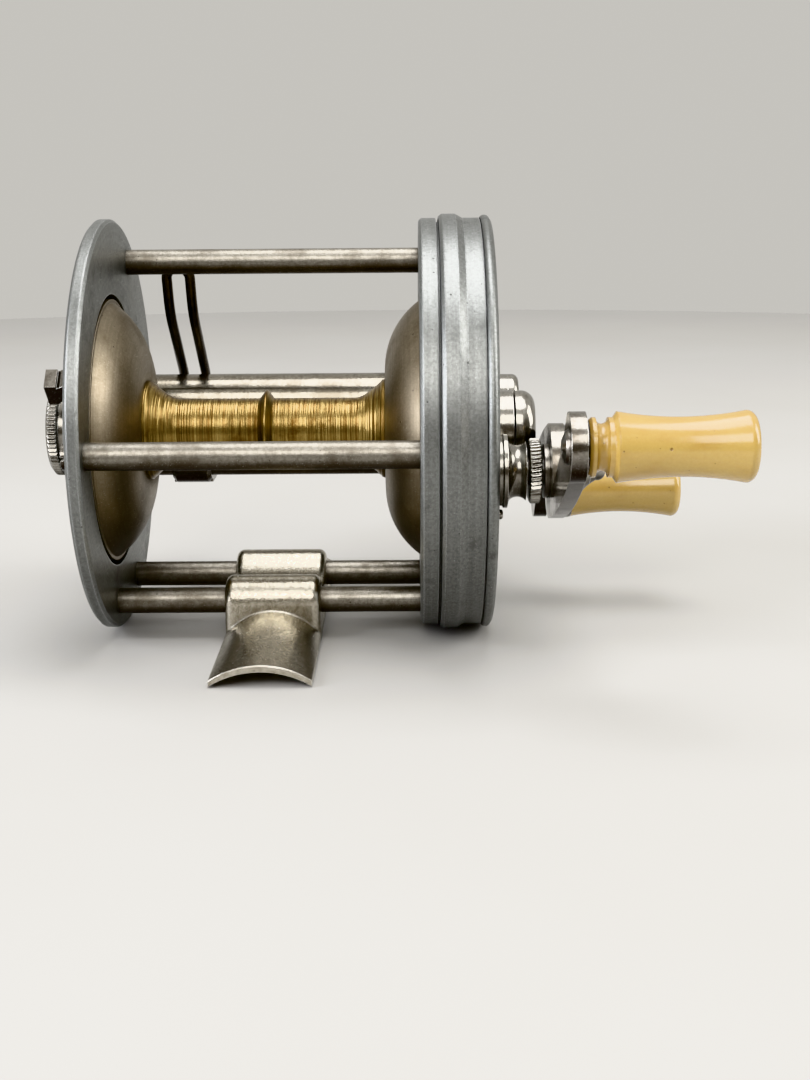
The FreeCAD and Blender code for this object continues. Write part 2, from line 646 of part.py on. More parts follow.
def pawl_cap():
    """Return the slotted cap that keeps the pawl in the carriage."""
    solid = Part.makeCylinder(PAWL_CAP_R, PAWL_CAP_T, vec(CARRIAGE_X, BODY_FRONT_Y, TUBE_Z),
                              vec(0, 1, 0))
    front = BODY_FRONT_Y + PAWL_CAP_T
    slot = box(CARRIAGE_X - 3, CARRIAGE_X + 3, front - 0.35, front + 1,
               TUBE_Z - SCREW_SLOT_W / 2, TUBE_Z + SCREW_SLOT_W / 2)
    return solid.cut(slot)


def line_guide_paths():
    """Return the corner points of the two legs of the line guide."""
    paths = []
    seat_y = BODY_BACK_Y + WIRE_INSET
    top_y, top_z = PILLARS["pillar_top"]
    for side in (-1, 1):
        x = CARRIAGE_X + side * WIRE_SPACING / 2
        paths.append([vec(x, seat_y, BODY_TOP_Z - WIRE_SEAT),
                      vec(x, seat_y, BODY_TOP_Z + WIRE_FIRST_BEND_H),
                      vec(x, top_y + WIRE_KNEE[0], top_z + WIRE_KNEE[1]),
                      vec(x, top_y + WIRE_END[0], top_z + WIRE_END[1])])
    return paths


def rounded_path(points, radii):
    """Return the edges of a polyline with an arc at each inner corner, and its last point."""
    edges = []
    last = points[0]
    for corner, following, radius in zip(points[1:-1], points[2:], radii):
        inward = (last - corner).normalize()
        outward = (following - corner).normalize()
        half = inward.getAngle(outward) / 2
        reach = radius / math.tan(half)
        start = corner + inward * reach
        end = corner + outward * reach
        bisector = (inward + outward).normalize()
        middle = corner + bisector * (radius / math.sin(half) - radius)
        edges.append(Part.makeLine(last, start))
        edges.append(Part.Arc(start, middle, end).toShape())
        last = end
    edges.append(Part.makeLine(last, points[-1]))
    return edges


def line_guide():
    """Return the hairpin wire that the line runs through."""
    left, right = line_guide_paths()
    edges = rounded_path(left, WIRE_BEND_RADII)
    outward = (left[-1] - left[-2]).normalize()
    crown = left[-1] + vec(WIRE_SPACING / 2, 0, 0) + outward * (WIRE_SPACING / 2)
    edges.append(Part.Arc(left[-1], crown, right[-1]).toShape())
    edges.extend(reversed(rounded_path(right, WIRE_BEND_RADII)))
    path = Part.Wire(Part.__sortEdges__(edges))
    profile = Part.Wire([Part.makeCircle(WIRE_R, left[0], vec(0, 0, 1))])
    return path.makePipeShell([profile], True, True)


def spool_arbor():
    """Return the brass arbor with flared ends and a middle rib."""
    x0 = DISH_DEPTH
    x1 = FRAME_GAP - DISH_DEPTH
    middle = FRAME_GAP / 2
    flare_mid = ARBOR_FLARE * 0.3
    solid = turned([
        (x0, 0), (x0, ARBOR_END_R), (x0 + 0.4, ARBOR_END_R),
        ((x0 + flare_mid, ARBOR_R + 0.75), (x0 + ARBOR_FLARE, ARBOR_R)),
        (middle - RIB_W / 2, ARBOR_R), (middle, RIB_R), (middle + RIB_W / 2, ARBOR_R),
        (x1 - ARBOR_FLARE, ARBOR_R), ((x1 - flare_mid, ARBOR_R + 0.75), (x1 - 0.4, ARBOR_END_R)),
        (x1, ARBOR_END_R), (x1, 0)], SPOOL_Y, SPOOL_Z)
    return solid.cut(rod(SPINDLE_R, 0, FRAME_GAP, SPOOL_Y, SPOOL_Z))


def flange_outline():
    """Return the (x, radius) outline of a flange whose rim lies in the tail plate's recess."""
    x_hub = DISH_DEPTH
    mid_x = DISH_DEPTH * 0.66
    mid_r = ARBOR_END_R + (FLANGE_R - ARBOR_END_R) * 0.6
    rim_r = FLANGE_R - 0.45
    return [(x_hub, SPINDLE_R), (x_hub, ARBOR_END_R), ((mid_x + 0.35, mid_r), (0.0, rim_r)),
            (0.0, FLANGE_R), (-FLANGE_RIM_W, FLANGE_R), (-FLANGE_RIM_W, rim_r - 0.3),
            ((mid_x - 0.4, mid_r - 0.4), (x_hub - FLANGE_T, ARBOR_END_R)),
            (x_hub - FLANGE_T, SPINDLE_R)]


def spool_flange_tail():
    """Return the dished flange at the tail end."""
    return turned(flange_outline(), SPOOL_Y, SPOOL_Z)


def spool_flange_head():
    """Return the dished flange at the head end."""
    return spool_flange_tail().mirror(vec(FRAME_GAP / 2, 0, 0), vec(1, 0, 0))


def spool_spindle():
    """Return the steel spindle that runs through the spool and both plates."""
    x0 = TAIL_BOSS_X - BUSH_NOSE
    x1 = OUTER_X + SPOOL_BOSS_L - MOVING_GAP
    return turned([(x0, 0), (x0, SPINDLE_R - 0.2), (x0 + 0.2, SPINDLE_R),
                   (x1 - 0.2, SPINDLE_R), (x1, SPINDLE_R - 0.2), (x1, 0)], SPOOL_Y, SPOOL_Z)


def gear_phases():
    """Return the phase angle of each gear, in mesh at rest."""
    drive = 0.0
    to_pinion = direction(CRANK_Y, CRANK_Z, SPOOL_Y, SPOOL_Z)
    pinion = meshed_phase(drive, DRIVE_TEETH, PINION_TEETH, to_pinion)
    to_idler = direction(SPOOL_Y, SPOOL_Z, IDLER_Y, IDLER_Z)
    idler = meshed_phase(pinion, PINION_TEETH, IDLER_TEETH, to_idler)
    to_worm = direction(IDLER_Y, IDLER_Z, TUBE_Y, TUBE_Z)
    worm_gear_phase = meshed_phase(idler, IDLER_TEETH, WORM_GEAR_TEETH, to_worm)
    return drive, pinion, idler, worm_gear_phase


def gears():
    """Return the four gears by name."""
    drive, pinion, idler, worm_gear_phase = gear_phases()
    return {
        "drive_gear": gear(DRIVE_TEETH, GEAR_X0, GEAR_X1, CRANK_Y, CRANK_Z, drive, MAIN_SHAFT_R),
        "spool_pinion": gear(PINION_TEETH, GEAR_X0 - PINION_EXTRA, GEAR_X1 + PINION_EXTRA,
                             SPOOL_Y, SPOOL_Z, pinion, SPINDLE_R),
        "idler_gear": gear(IDLER_TEETH, GEAR_X0, GEAR_X1, IDLER_Y, IDLER_Z, idler, WORM_SHAFT_R + FIT),
        "worm_gear": gear(WORM_GEAR_TEETH, GEAR_X0, GEAR_X1, TUBE_Y, TUBE_Z, worm_gear_phase,
                          WORM_SHAFT_R),
    }


def idler_post():
    """Return the shouldered post on the head plate that the idler turns on."""
    return turned([(CASE_X, 0), (CASE_X, 2.6), (GEAR_X0 - 0.1, 2.6), (GEAR_X0 - 0.1, WORM_SHAFT_R),
                   (GEAR_X1 + 0.1, WORM_SHAFT_R), (GEAR_X1 + 0.1, 2.4), (GEAR_X1 + 0.9, 2.4),
                   (GEAR_X1 + 0.9, 0)], IDLER_Y, IDLER_Z)


def shaft_foot():
    """Return the bush on the head plate that carries the crank shaft's inner end."""
    solid = rod(3.2, CASE_X, GEAR_X0 - 0.1, CRANK_Y, CRANK_Z)
    return solid.cut(rod(MAIN_SHAFT_R + FIT, CASE_X + 0.3, GEAR_X0 + 1, CRANK_Y, CRANK_Z))


def spool_cap_boss():
    """Return the boss on the cover that carries the spindle's head end."""
    x1 = OUTER_X + SPOOL_BOSS_L - CAP_SEAM
    return tube(SPOOL_BOSS_R, SPINDLE_R + FIT, OUTER_X, x1, SPOOL_Y, SPOOL_Z)


def domed_cap(radius, x0, length, edge, y, z):
    """Return a cap with a flat back and a rounded shoulder of the given edge radius."""
    lift = edge * (1 - math.sqrt(0.5))
    x1 = x0 + length
    return turned([(x0, 0), (x0, radius), (x1 - edge, radius),
                   ((x1 - lift, radius - lift), (x1, radius - edge)), (x1, 0)], y, z)


def spool_cap():
    """Return the domed tension cap at the head end of the spindle."""
    x0 = OUTER_X + SPOOL_BOSS_L
    return domed_cap(SPOOL_BOSS_R, x0 + CAP_SEAM, SPOOL_CAP_L, SPOOL_CAP_EDGE, SPOOL_Y, SPOOL_Z)


def worm_cap_boss():
    """Return the boss on the cover that carries the worm's head journal."""
    x1 = OUTER_X + WORM_BOSS_L - CAP_SEAM
    return tube(WORM_BOSS_R, WORM_SHAFT_R + FIT, OUTER_X, x1, TUBE_Y, TUBE_Z)


def worm_cap():
    """Return the small domed cap over the worm's bearing."""
    x0 = OUTER_X + WORM_BOSS_L - CAP_SEAM
    return domed_cap(WORM_BOSS_R, x0, WORM_CAP_L, WORM_CAP_EDGE, TUBE_Y, TUBE_Z)


def main_shaft():
    """Return the crank shaft, from its inner bush to the crank nut."""
    return rod(MAIN_SHAFT_R, CASE_X + 0.4, SHAFT_END_X, CRANK_Y, CRANK_Z)


def shaft_bearing():
    """Return the stepped and waisted bearing of the crank shaft."""
    x0 = OUTER_X
    solid = turned([(x0, 0), (x0, BEARING_BASE_R), (x0 + 0.45, BEARING_BASE_R), (x0 + 0.6, BEARING_R),
                    (x0 + 1.1, BEARING_R), (x0 + 1.25, BEARING_R + 0.25), (x0 + 1.7, BEARING_R + 0.25),
                    (x0 + 1.9, BEARING_R - 0.6), ((x0 + 2.8, 3.05), (BEARING_END_X, 3.5)),
                    (BEARING_END_X, 0)], CRANK_Y, CRANK_Z)
    return solid.cut(rod(MAIN_SHAFT_R + FIT, x0 - 1, BEARING_END_X + 1, CRANK_Y, CRANK_Z))


def bearing_pin_point():
    """Return the (y, z) centre of the pin that locks the bearing, below its base ring."""
    return CRANK_Y, CRANK_Z - BEARING_BASE_R - BEARING_PIN_R - THREAD_FIT


def bearing_pin():
    """Return the small headed pin beside the crank shaft's bearing."""
    y, z = bearing_pin_point()
    x1 = OUTER_X + BEARING_PIN_L
    shank = rod(BEARING_PIN_R - 0.1, COVER_X, OUTER_X, y, z)
    return shank.fuse(domed_cap(BEARING_PIN_R, OUTER_X, BEARING_PIN_L, BEARING_PIN_EDGE, y, z)).cut(
        rod(BEARING_PIN_DIMPLE_R, x1 - BEARING_PIN_EDGE, x1 + 1, y, z))


def bearing_collar():
    """Return the slant-knurled collar that takes up the crank shaft's end play."""
    x0 = BEARING_END_X + MOVING_GAP
    x1 = x0 + COLLAR_T
    profiles = []
    for x, turn in ((x0 - 0.2, 0), (x1 + 0.2, COLLAR_KNURL_SLANT)):
        pairs = [(COLLAR_R - KNURL_DEPTH * (index % 2), index * 180.0 / COLLAR_KNURLS + turn)
                 for index in range(2 * COLLAR_KNURLS)]
        corners = [vec(x, *polar(radius, angle, CRANK_Y, CRANK_Z)) for radius, angle in pairs]
        profiles.append(Part.makePolygon(corners + corners[:1]))
    solid = Part.makeLoft(profiles, True, True)
    face_r = COLLAR_R - COLLAR_EDGE_DROP
    crown = (x0 + COLLAR_T / 2, COLLAR_R + COLLAR_CROWN)
    rounded = turned([(x0, 0), (x0, face_r), (crown, (x1, face_r)), (x1, 0)], CRANK_Y, CRANK_Z)
    bore = rod(MAIN_SHAFT_R + FIT, x0 - 1, x1 + 1, CRANK_Y, CRANK_Z)
    return solid.common(rounded).cut(bore)


def crank_washer():
    """Return the washer between the collar and the crank."""
    return tube(WASHER_R, MAIN_SHAFT_R, WASHER_X, CRANK_X, CRANK_Y, CRANK_Z)


def knob_points():
    """Return the (y, z) centres of the two knobs, the rear one first."""
    return [polar(CRANK_REACH, -90 + (CRANK_ANGLE - 90) + turn, CRANK_Y, CRANK_Z)
            for turn in (0, 180)]


def crank_half(side):
    """Return one arm of the crank, bowed off the line from the hub to its knob."""
    hub = CRANK_HUB_R
    end = CRANK_END_R
    reach = CRANK_REACH
    outer_mid = (reach / 2, -CRANK_BOW - CRANK_WAIST)
    inner_mid = (reach / 2 + end / 2, CRANK_WAIST - CRANK_BOW + CRANK_SPREAD)
    outline = [(0, -hub), (outer_mid, (reach, -end)), (reach, 0), (reach - 0.6 * end, 0.8 * end),
               (inner_mid, (0.9 * hub, -0.4 * hub)), (0, 0)]
    arm = extruded(outline, CRANK_X, CRANK_FACE_X)
    arm.rotate(vec(0, 0, 0), vec(1, 0, 0), 0 if side > 0 else 180)
    return arm


def crank_arm():
    """Return the double crank: an S-shaped bar with a hub and two round ends."""
    x0 = CRANK_X
    x1 = CRANK_FACE_X
    bar = rod(CRANK_HUB_R, x0, x1)
    for side in (-1, 1):
        bar = bar.fuse([rod(CRANK_END_R, x0, x1, side * CRANK_REACH, 0), crank_half(side)])
    for side in (-1, 1):
        bar = bar.cut(rod(KNOB_PIN_R, x0 - 1, x1 + 1, side * CRANK_REACH, 0))
    bar = bar.cut(rod(MAIN_SHAFT_R, x0 - 1, x1 + 1)).removeSplitter()
    bar = bar.mirror(vec(0, 0, 0), vec(0, 1, 0))
    bar.rotate(vec(0, 0, 0), vec(1, 0, 0), -(CRANK_ANGLE - 90))
    bar.translate(vec(0, CRANK_Y, CRANK_Z))
    return bar


def crank_nut():
    """Return the bell-shaped cap nut that holds the crank."""
    x0 = CRANK_FACE_X
    x1 = x0 + NUT_L
    solid = turned([(x0, 0), (x0, NUT_R - 0.35), (x0 + 0.35, NUT_R), (x0 + 0.8, NUT_R - 0.1),
                    ((x0 + 2.1, 2.6), (x1 - NUT_TIP_R, NUT_TIP_R)),
                    ((x1 - 0.3, 0.9), (x1, 0.3)), (x1, 0)], CRANK_Y, CRANK_Z)
    return solid.cut(rod(MAIN_SHAFT_R + THREAD_FIT, x0 - 1, SHAFT_END_X + 0.1, CRANK_Y, CRANK_Z))


def knob_rivets():
    """Return the two headed pins that the knobs turn on, as separate solids."""
    pins = []
    for y, z in knob_points():
        x_end = KNOB_X + KNOB_L - 1.6
        pins.append(turned([(CRANK_X - 0.7, 0), (CRANK_X - 0.7, 0.9), (CRANK_X - 0.35, 1.7),
                            (CRANK_X, 1.9), (CRANK_X, KNOB_PIN_R), (x_end, KNOB_PIN_R),
                            (x_end, 1.7), (x_end + 0.7, 1.7), (x_end + 0.7, 0)], y, z))
    return Part.makeCompound(pins)


def knob(y, z):
    """Return a turned, waisted knob with a collar at the crank, hollow for its pin."""
    x0 = KNOB_X
    x1 = x0 + KNOB_L
    outline = [(x0, 0), (x0, KNOB_COLLAR_R - 0.3), (x0 + 0.3, KNOB_COLLAR_R),
               (x0 + 0.7, KNOB_COLLAR_R), ((x0 + 1.35, KNOB_NECK_R), (x0 + 2.0, KNOB_COLLAR_R)),
               (x0 + 2.5, KNOB_COLLAR_R), (x0 + 2.9, KNOB_END_R - 0.05),
               ((x0 + 9.6, KNOB_WAIST_R), (x1 - 1.0, KNOB_END_R)),
               ((x1 - 0.3, KNOB_END_R - 0.3), (x1, KNOB_END_R - 1.1)), (x1, 0)]
    solid = turned(outline, y, z)
    x_head = x1 - 1.6
    solid = solid.cut(rod(KNOB_PIN_R + FIT, x0 - 1, x_head, y, z))
    return solid.cut(rod(1.7 + FIT, x_head - FIT, x_head + 0.7 + FIT, y, z))


def arch_wire(y, rise, crown_t):
    """Return the outline of a blade across the foot: arched below and above.

    The underside rises by rise from edge to middle, and crown_t is the thickness at the middle.
    """
    low = TABLE_Z + FOOT_LIFT
    left = FOOT_X - FOOT_W / 2
    right = FOOT_X + FOOT_W / 2
    top = low + FOOT_EDGE_T
    corners = [vec(left, y, low), vec(right, y, low), vec(right, y, top), vec(left, y, top)]
    under = Part.Arc(corners[0], vec(FOOT_X, y, low + rise), corners[1]).toShape()
    over = Part.Arc(corners[2], vec(FOOT_X, y, low + rise + crown_t), corners[3]).toShape()
    return Part.Wire([under, Part.makeLine(corners[1], corners[2]), over,
                      Part.makeLine(corners[3], corners[0])])


def foot_blade(side):
    """Return one blade, flatter and thinner towards its tip."""
    root = arch_wire(side * (side_of_saddle() - FOOT_BLADE_LAP), FOOT_ROOT_RISE, FOOT_ROOT_T)
    tip = arch_wire(side * FOOT_HALF_L, FOOT_TIP_RISE, FOOT_T)
    return Part.makeLoft([root, tip], True, True)


def side_of_saddle():
    """Return how far the saddle's sides stand from the reel's middle plane."""
    return PILLARS["pillar_lower_front"][0] + PILLAR_R + THREAD_FIT + FOOT_HUMP_T


def foot_saddle():
    """Return the saddle of the foot: a hump over each lower pillar, with a dip between them."""
    y_p, z_p = PILLARS["pillar_lower_front"]
    hump = PILLAR_R + THREAD_FIT + FOOT_HUMP_T
    rise = SADDLE_DIP_RISE
    dip_r = (y_p ** 2 + rise ** 2 - hump ** 2) / (2 * (hump - rise))
    share = hump / (hump + dip_r)
    join_y = y_p * (1 - share)
    join_z = z_p + (rise + dip_r) * share
    side = side_of_saddle()
    skirt_z = TABLE_Z + FOOT_LIFT
    points = [(-side, skirt_z), (-side, z_p), ((-y_p, z_p + hump), (-join_y, join_z)),
              ((0, z_p + rise), (join_y, join_z)), ((y_p, z_p + hump), (side, z_p)),
              (side, skirt_z)]
    solid = extruded(points, FOOT_X - FOOT_W / 2, FOOT_X + FOOT_W / 2)
    ends = [edge for edge in solid.Edges if edge.BoundBox.XLength < 1e-6
            and edge.BoundBox.ZMax > skirt_z + 0.01]
    return solid.makeFillet(FOOT_EDGE_R, ends)


def reel_foot():
    """Return the stamped foot, closed round the two lower pillars."""
    solid = foot_saddle().fuse([foot_blade(-1), foot_blade(1)])
    low = TABLE_Z + FOOT_LIFT
    half = FOOT_W / 2
    arch_r = (half ** 2 + FOOT_ROOT_RISE ** 2) / (2 * FOOT_ROOT_RISE)
    reach = side_of_saddle() - FOOT_BLADE_LAP
    hollow = Part.makeCylinder(arch_r, 2 * reach, vec(FOOT_X, -reach, low + FOOT_ROOT_RISE - arch_r),
                               vec(0, 1, 0))
    solid = solid.cut(hollow)
    for name in ("pillar_lower_rear", "pillar_lower_front"):
        solid = solid.cut(rod(PILLAR_R + THREAD_FIT, 0, FRAME_GAP, *PILLARS[name]))
    return solid


def all_parts():
    """Return every part by node name, in the drawing frame."""
    parts = {
        "tail_plate": tail_plate(),
        "tail_bush": tail_bush(),
        "tail_cap": tail_cap(),
        "click_button": click_button(),
        "click_pawl": click_pawl(),
        "click_spring": click_spring(),
        "click_wheel": click_wheel(),
        "head_plate": head_plate(),
        "head_ring": head_ring(),
        "head_cover": head_cover(),
        "case_posts": case_posts(),
        "cover_screws": cover_screws(),
        "guide_rod": pillar(GUIDE_Y, GUIDE_Z),
        "tail_screws": frame_screws(-TAIL_RIM_T, -1),
        "head_screws": frame_screws(CASE_X - SCREW_HEAD_T, 1),
        "level_wind_tube": level_wind_tube(),
        "worm": worm(),
        "carriage": carriage(),
        "pawl": pawl(),
        "pawl_cap": pawl_cap(),
        "line_guide": line_guide(),
        "spool_arbor": spool_arbor(),
        "spool_flange_tail": spool_flange_tail(),
        "spool_flange_head": spool_flange_head(),
        "spool_spindle": spool_spindle(),
        "idler_post": idler_post(),
        "shaft_foot": shaft_foot(),
        "spool_cap_boss": spool_cap_boss(),
        "spool_cap": spool_cap(),
        "worm_cap_boss": worm_cap_boss(),
        "worm_cap": worm_cap(),
        "main_shaft": main_shaft(),
        "shaft_bearing": shaft_bearing(),
        "bearing_pin": bearing_pin(),
        "bearing_collar": bearing_collar(),
        "crank_washer": crank_washer(),
        "crank_arm": crank_arm(),
        "crank_nut": crank_nut(),
        "knob_rivets": knob_rivets(),
        "reel_foot": reel_foot(),
    }
    for name, (y, z) in PILLARS.items():
        parts[name] = pillar(y, z)
    for name, (y, z) in zip(("knob_rear", "knob_front"), knob_points()):
        parts[name] = knob(y, z)
    parts.update(gears())
    return parts


def to_part_frame(parts):
    """Return the vector from the drawing frame to the part's frame: base centre at the origin."""
    bounds = FreeCAD.BoundBox()
    for shape in parts.values():
        bounds.add(shape.optimalBoundingBox(True, False))
    return vec(-bounds.Center.x, -bounds.Center.y, -bounds.ZMin)


def main():
    """Write one STEP file per part."""
    os.makedirs("parts", exist_ok=True)
    parts = all_parts()
    shift = to_part_frame(parts)
    print("shift", round(shift.x, 4), round(shift.y, 4), round(shift.z, 4))
    for name, shape in parts.items():
        shape.translate(shift)
        shape.exportStep("parts/" + name + ".step")
        print(name, len(shape.Solids), shape.isValid(), round(shape.Volume, 2))


if __name__ == "__main__":
    main()
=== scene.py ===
"""Bait-casting reel with a level wind: finishes, fine pieces, studio and camera."""

from __future__ import annotations

import logging
import math
import random
from dataclasses import dataclass, replace
from enum import Enum

import bmesh
import bpy
from mathutils import Matrix, Vector

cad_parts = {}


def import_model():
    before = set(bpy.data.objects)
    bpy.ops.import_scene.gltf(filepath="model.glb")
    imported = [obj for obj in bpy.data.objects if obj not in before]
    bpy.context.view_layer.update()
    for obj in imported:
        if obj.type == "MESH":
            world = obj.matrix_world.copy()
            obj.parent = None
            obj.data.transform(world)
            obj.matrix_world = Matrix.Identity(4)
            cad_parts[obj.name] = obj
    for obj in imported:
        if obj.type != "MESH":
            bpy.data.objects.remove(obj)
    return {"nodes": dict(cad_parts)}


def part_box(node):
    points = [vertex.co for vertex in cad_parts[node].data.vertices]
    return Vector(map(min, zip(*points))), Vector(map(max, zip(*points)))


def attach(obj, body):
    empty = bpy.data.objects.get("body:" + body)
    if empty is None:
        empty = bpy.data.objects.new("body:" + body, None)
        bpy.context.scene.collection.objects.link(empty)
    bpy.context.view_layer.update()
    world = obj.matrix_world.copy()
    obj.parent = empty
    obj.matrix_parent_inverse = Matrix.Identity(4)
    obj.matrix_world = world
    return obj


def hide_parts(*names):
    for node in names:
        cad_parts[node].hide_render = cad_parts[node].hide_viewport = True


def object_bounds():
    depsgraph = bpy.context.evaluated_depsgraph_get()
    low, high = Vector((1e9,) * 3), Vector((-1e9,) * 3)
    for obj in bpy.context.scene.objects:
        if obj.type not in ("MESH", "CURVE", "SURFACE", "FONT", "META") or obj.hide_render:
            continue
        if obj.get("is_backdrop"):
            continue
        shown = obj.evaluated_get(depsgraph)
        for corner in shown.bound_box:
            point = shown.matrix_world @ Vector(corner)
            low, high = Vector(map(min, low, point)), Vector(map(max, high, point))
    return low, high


LOG = logging.getLogger("reel")
MM = 0.001
# How ragged the noise is in soft patterns, and in speckle and tarnish.
SOFT_NOISE = 0.55
RAGGED_NOISE = 0.65


def linear(hex_colour: str) -> tuple[float, float, float, float]:
    """Turns an sRGB hex colour to linear light.

    Args:
        hex_colour: six hex digits, such as "C9C2B4".

    Returns:
        Red, green, blue and an alpha of one.
    """
    shares = [int(hex_colour[i : i + 2], 16) / 255 for i in (0, 2, 4)]
    light = [s / 12.92 if s <= 0.04045 else ((s + 0.055) / 1.055) ** 2.4 for s in shares]
    return (light[0], light[1], light[2], 1.0)


def per_metre(size_mm: float) -> float:
    """Texture scale, in repeats per metre, that draws features of size_mm."""
    return 1.0 / (size_mm * MM)


def add_node(
    tree: bpy.types.NodeTree, kind: str, inputs: dict | None = None, **settings: object
) -> bpy.types.Node:
    """Adds a shader node with its settings and links.

    Args:
        tree: the node tree to add to.
        kind: the node's type name after "ShaderNode".
        inputs: what goes into its inputs, by name or number: a socket or a constant.
        settings: the node's own properties.

    Returns:
        The new node.
    """
    node = tree.nodes.new("ShaderNode" + kind)
    for name, value in settings.items():
        setattr(node, name, value)
    for key, value in (inputs or {}).items():
        if isinstance(value, bpy.types.NodeSocket):
            tree.links.new(value, node.inputs[key])
        else:
            node.inputs[key].default_value = value
    return node


class Grain(Enum):
    """Which way the tool marks run on a piece."""

    TURNED = "round the piece's axis, as from a lathe"
    DRAWN = "along the reel, as on drawn rod"
    RUBBED = "every way, as from a polishing mop"


@dataclass(frozen=True)
class Axis:
    """The line along X that a piece was turned about, in metres."""

    y: float
    z: float

    @classmethod
    def of(cls, node: str) -> Axis:
        """The axis through the middle of a CAD node's box."""
        low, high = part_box(node)
        middle = (low + high) / 2
        return cls(middle.y, middle.z)


class Surface:
    """One material while its nodes are laid, with the marks that several finishes share."""

    # A band is where a measure starts to show and where it shows in full.
    edge_band: tuple[float, float] = (0.01, 0.16)
    # Painted shade: how far a face must turn down before it starts and ends being drawn darker.
    underside_shade_band: tuple[float, float] = (-0.2, 0.65)
    scratch_band: tuple[float, float] = (0.70, 0.76)
    # Turns in radians, one for each direction that scratches run in.
    scratch_turns: tuple[tuple[float, float, float], ...] = (
        (0.5, 0.0, 0.3),
        (-0.7, 0.2, 1.2),
        (1.3, -0.3, -0.5),
    )
    # The share of a pit's radius that its wall slopes over, and a power above 1 for more small
    # pits than large ones.
    pit_rim: float = 0.25
    pit_spread: float = 2.0
    # Rays of the edge and crevice shading.
    shade_samples: int = 4

    def __init__(self, name: str, axis: Axis) -> None:
        """Makes an empty material and its object coordinates.

        Args:
            name: the material's name.
            axis: what the piece was turned about.
        """
        self.material = bpy.data.materials.new(name)
        self.material.use_nodes = True
        self.tree = self.material.node_tree
        self.tree.nodes.clear()
        self.place = self.add("TexCoord", output="Object")
        self.axis = axis

    def add(
        self, kind: str, inputs: dict | None = None, output: int | str = 0, **settings: object
    ) -> bpy.types.NodeSocket:
        """Adds a node to this material.

        Args:
            kind: the node's type name after "ShaderNode".
            inputs: sockets or constants for its inputs, by name or number.
            output: which of its outputs is wanted, by name or number.
            settings: the node's own properties.

        Returns:
            The socket of that output.
        """
        return add_node(self.tree, kind, inputs, **settings).outputs[output]

    def stretched(self, x_mm: float, y_mm: float, z_mm: float) -> bpy.types.NodeSocket:
        """Coordinates whose unit is one mark, with a size along each axis."""
        scale = (per_metre(x_mm), per_metre(y_mm), per_metre(z_mm))
        return self.add("Mapping", {"Vector": self.place, "Scale": scale})

    def turned(self, pitch_mm: float, sweep: float) -> bpy.types.NodeSocket:
        """Coordinates for lathe marks: along the axis, out from it, and slowly round it.

        Args:
            pitch_mm: distance between marks.
            sweep: how many marks' worth of change there is in half a turn.

        Returns:
            A vector socket whose unit is one mark.
        """
        pitch = per_metre(pitch_mm)
        centre = (0.0, -self.axis.y, -self.axis.z)
        shifted = self.add("Mapping", {"Vector": self.place, "Location": centre})
        parts = add_node(self.tree, "SeparateXYZ", {0: shifted}).outputs
        across = self.add("CombineXYZ", {1: parts[1], 2: parts[2]})
        length = self.add("VectorMath", {0: across}, "Value", operation="LENGTH")
        along = self.add("Math", {0: parts[0], 1: pitch}, operation="MULTIPLY")
        radius = self.add("Math", {0: length, 1: pitch}, operation="MULTIPLY")
        side = self.add("Math", {0: parts[1], 1: length}, operation="DIVIDE")
        turn = self.add("Math", {0: side, 1: sweep / 2}, operation="MULTIPLY")
        return self.add("CombineXYZ", {0: along, 1: radius, 2: turn})

    def edges(self, radius_mm: float) -> tuple[bpy.types.NodeSocket, bpy.types.NodeSocket]:
        """Softens sharp edges in the shading.

        Args:
            radius_mm: how wide the softened edge is.

        Returns:
            The softened normal, and how much each point is an edge.
        """
        soft = self.add("Bevel", {"Radius": radius_mm * MM}, samples=self.shade_samples)
        plain = self.add("NewGeometry", output="Normal")
        alike = self.add("VectorMath", {0: soft, 1: plain}, "Value", operation="DOT_PRODUCT")
        apart = self.add("Math", {0: 1.0, 1: alike}, operation="SUBTRACT")
        low, high = self.edge_band
        inputs = {0: apart, 1: low, 2: high}
        return soft, self.add("MapRange", inputs, interpolation_type="SMOOTHSTEP")

    def crevices(self, reach_mm: float) -> bpy.types.NodeSocket:
        """How shut in each point is, from 0 in the open to 1 in a corner, as the mask for grime and
        painted shade in crevices.

        Args:
            reach_mm: how far away a neighbour still shuts a point in.

        Returns:
            The pattern's socket.
        """
        inputs = {"Distance": reach_mm * MM}
        openness = self.add("AmbientOcclusion", inputs, "AO", samples=self.shade_samples)
        return self.add("Math", {0: 1.0, 1: openness}, operation="SUBTRACT")

    def painted_underside_shade(self) -> bpy.types.NodeSocket:
        """How far each point faces down, from 0 on the sides to 1 underneath, as the mask for
        painted shade underneath.
        """
        facing = self.add("TexCoord", output="Normal")
        height = self.add("SeparateXYZ", {0: facing}, 2)
        down = self.add("Math", {0: height, 1: -1.0}, operation="MULTIPLY")
        low, high = self.underside_shade_band
        return self.add("MapRange", {0: down, 1: low, 2: high}, interpolation_type="SMOOTHSTEP")

    def scratches(self, length_mm: float, width_mm: float) -> bpy.types.NodeSocket:
        """Thin straight scratches in three directions.

        Args:
            length_mm: about how long each one is.
            width_mm: about how wide each one is.

        Returns:
            1 on a scratch and 0 between.
        """
        scale = (per_metre(width_mm), per_metre(length_mm), per_metre(width_mm))
        low, high = self.scratch_band
        blotches = {"Scale": 1.0, "Detail": 1.0, "Roughness": SOFT_NOISE}
        found: float | bpy.types.NodeSocket = 0.0
        for turn in self.scratch_turns:
            placing = {"Vector": self.place, "Rotation": turn, "Scale": scale}
            lines = self.add("TexNoise", blotches | {"Vector": self.add("Mapping", placing)})
            inputs = {0: lines, 1: low, 2: high}
            lines = self.add("MapRange", inputs, interpolation_type="SMOOTHSTEP")
            found = self.add("Math", {0: lines, 1: found}, operation="MAXIMUM")
        return found

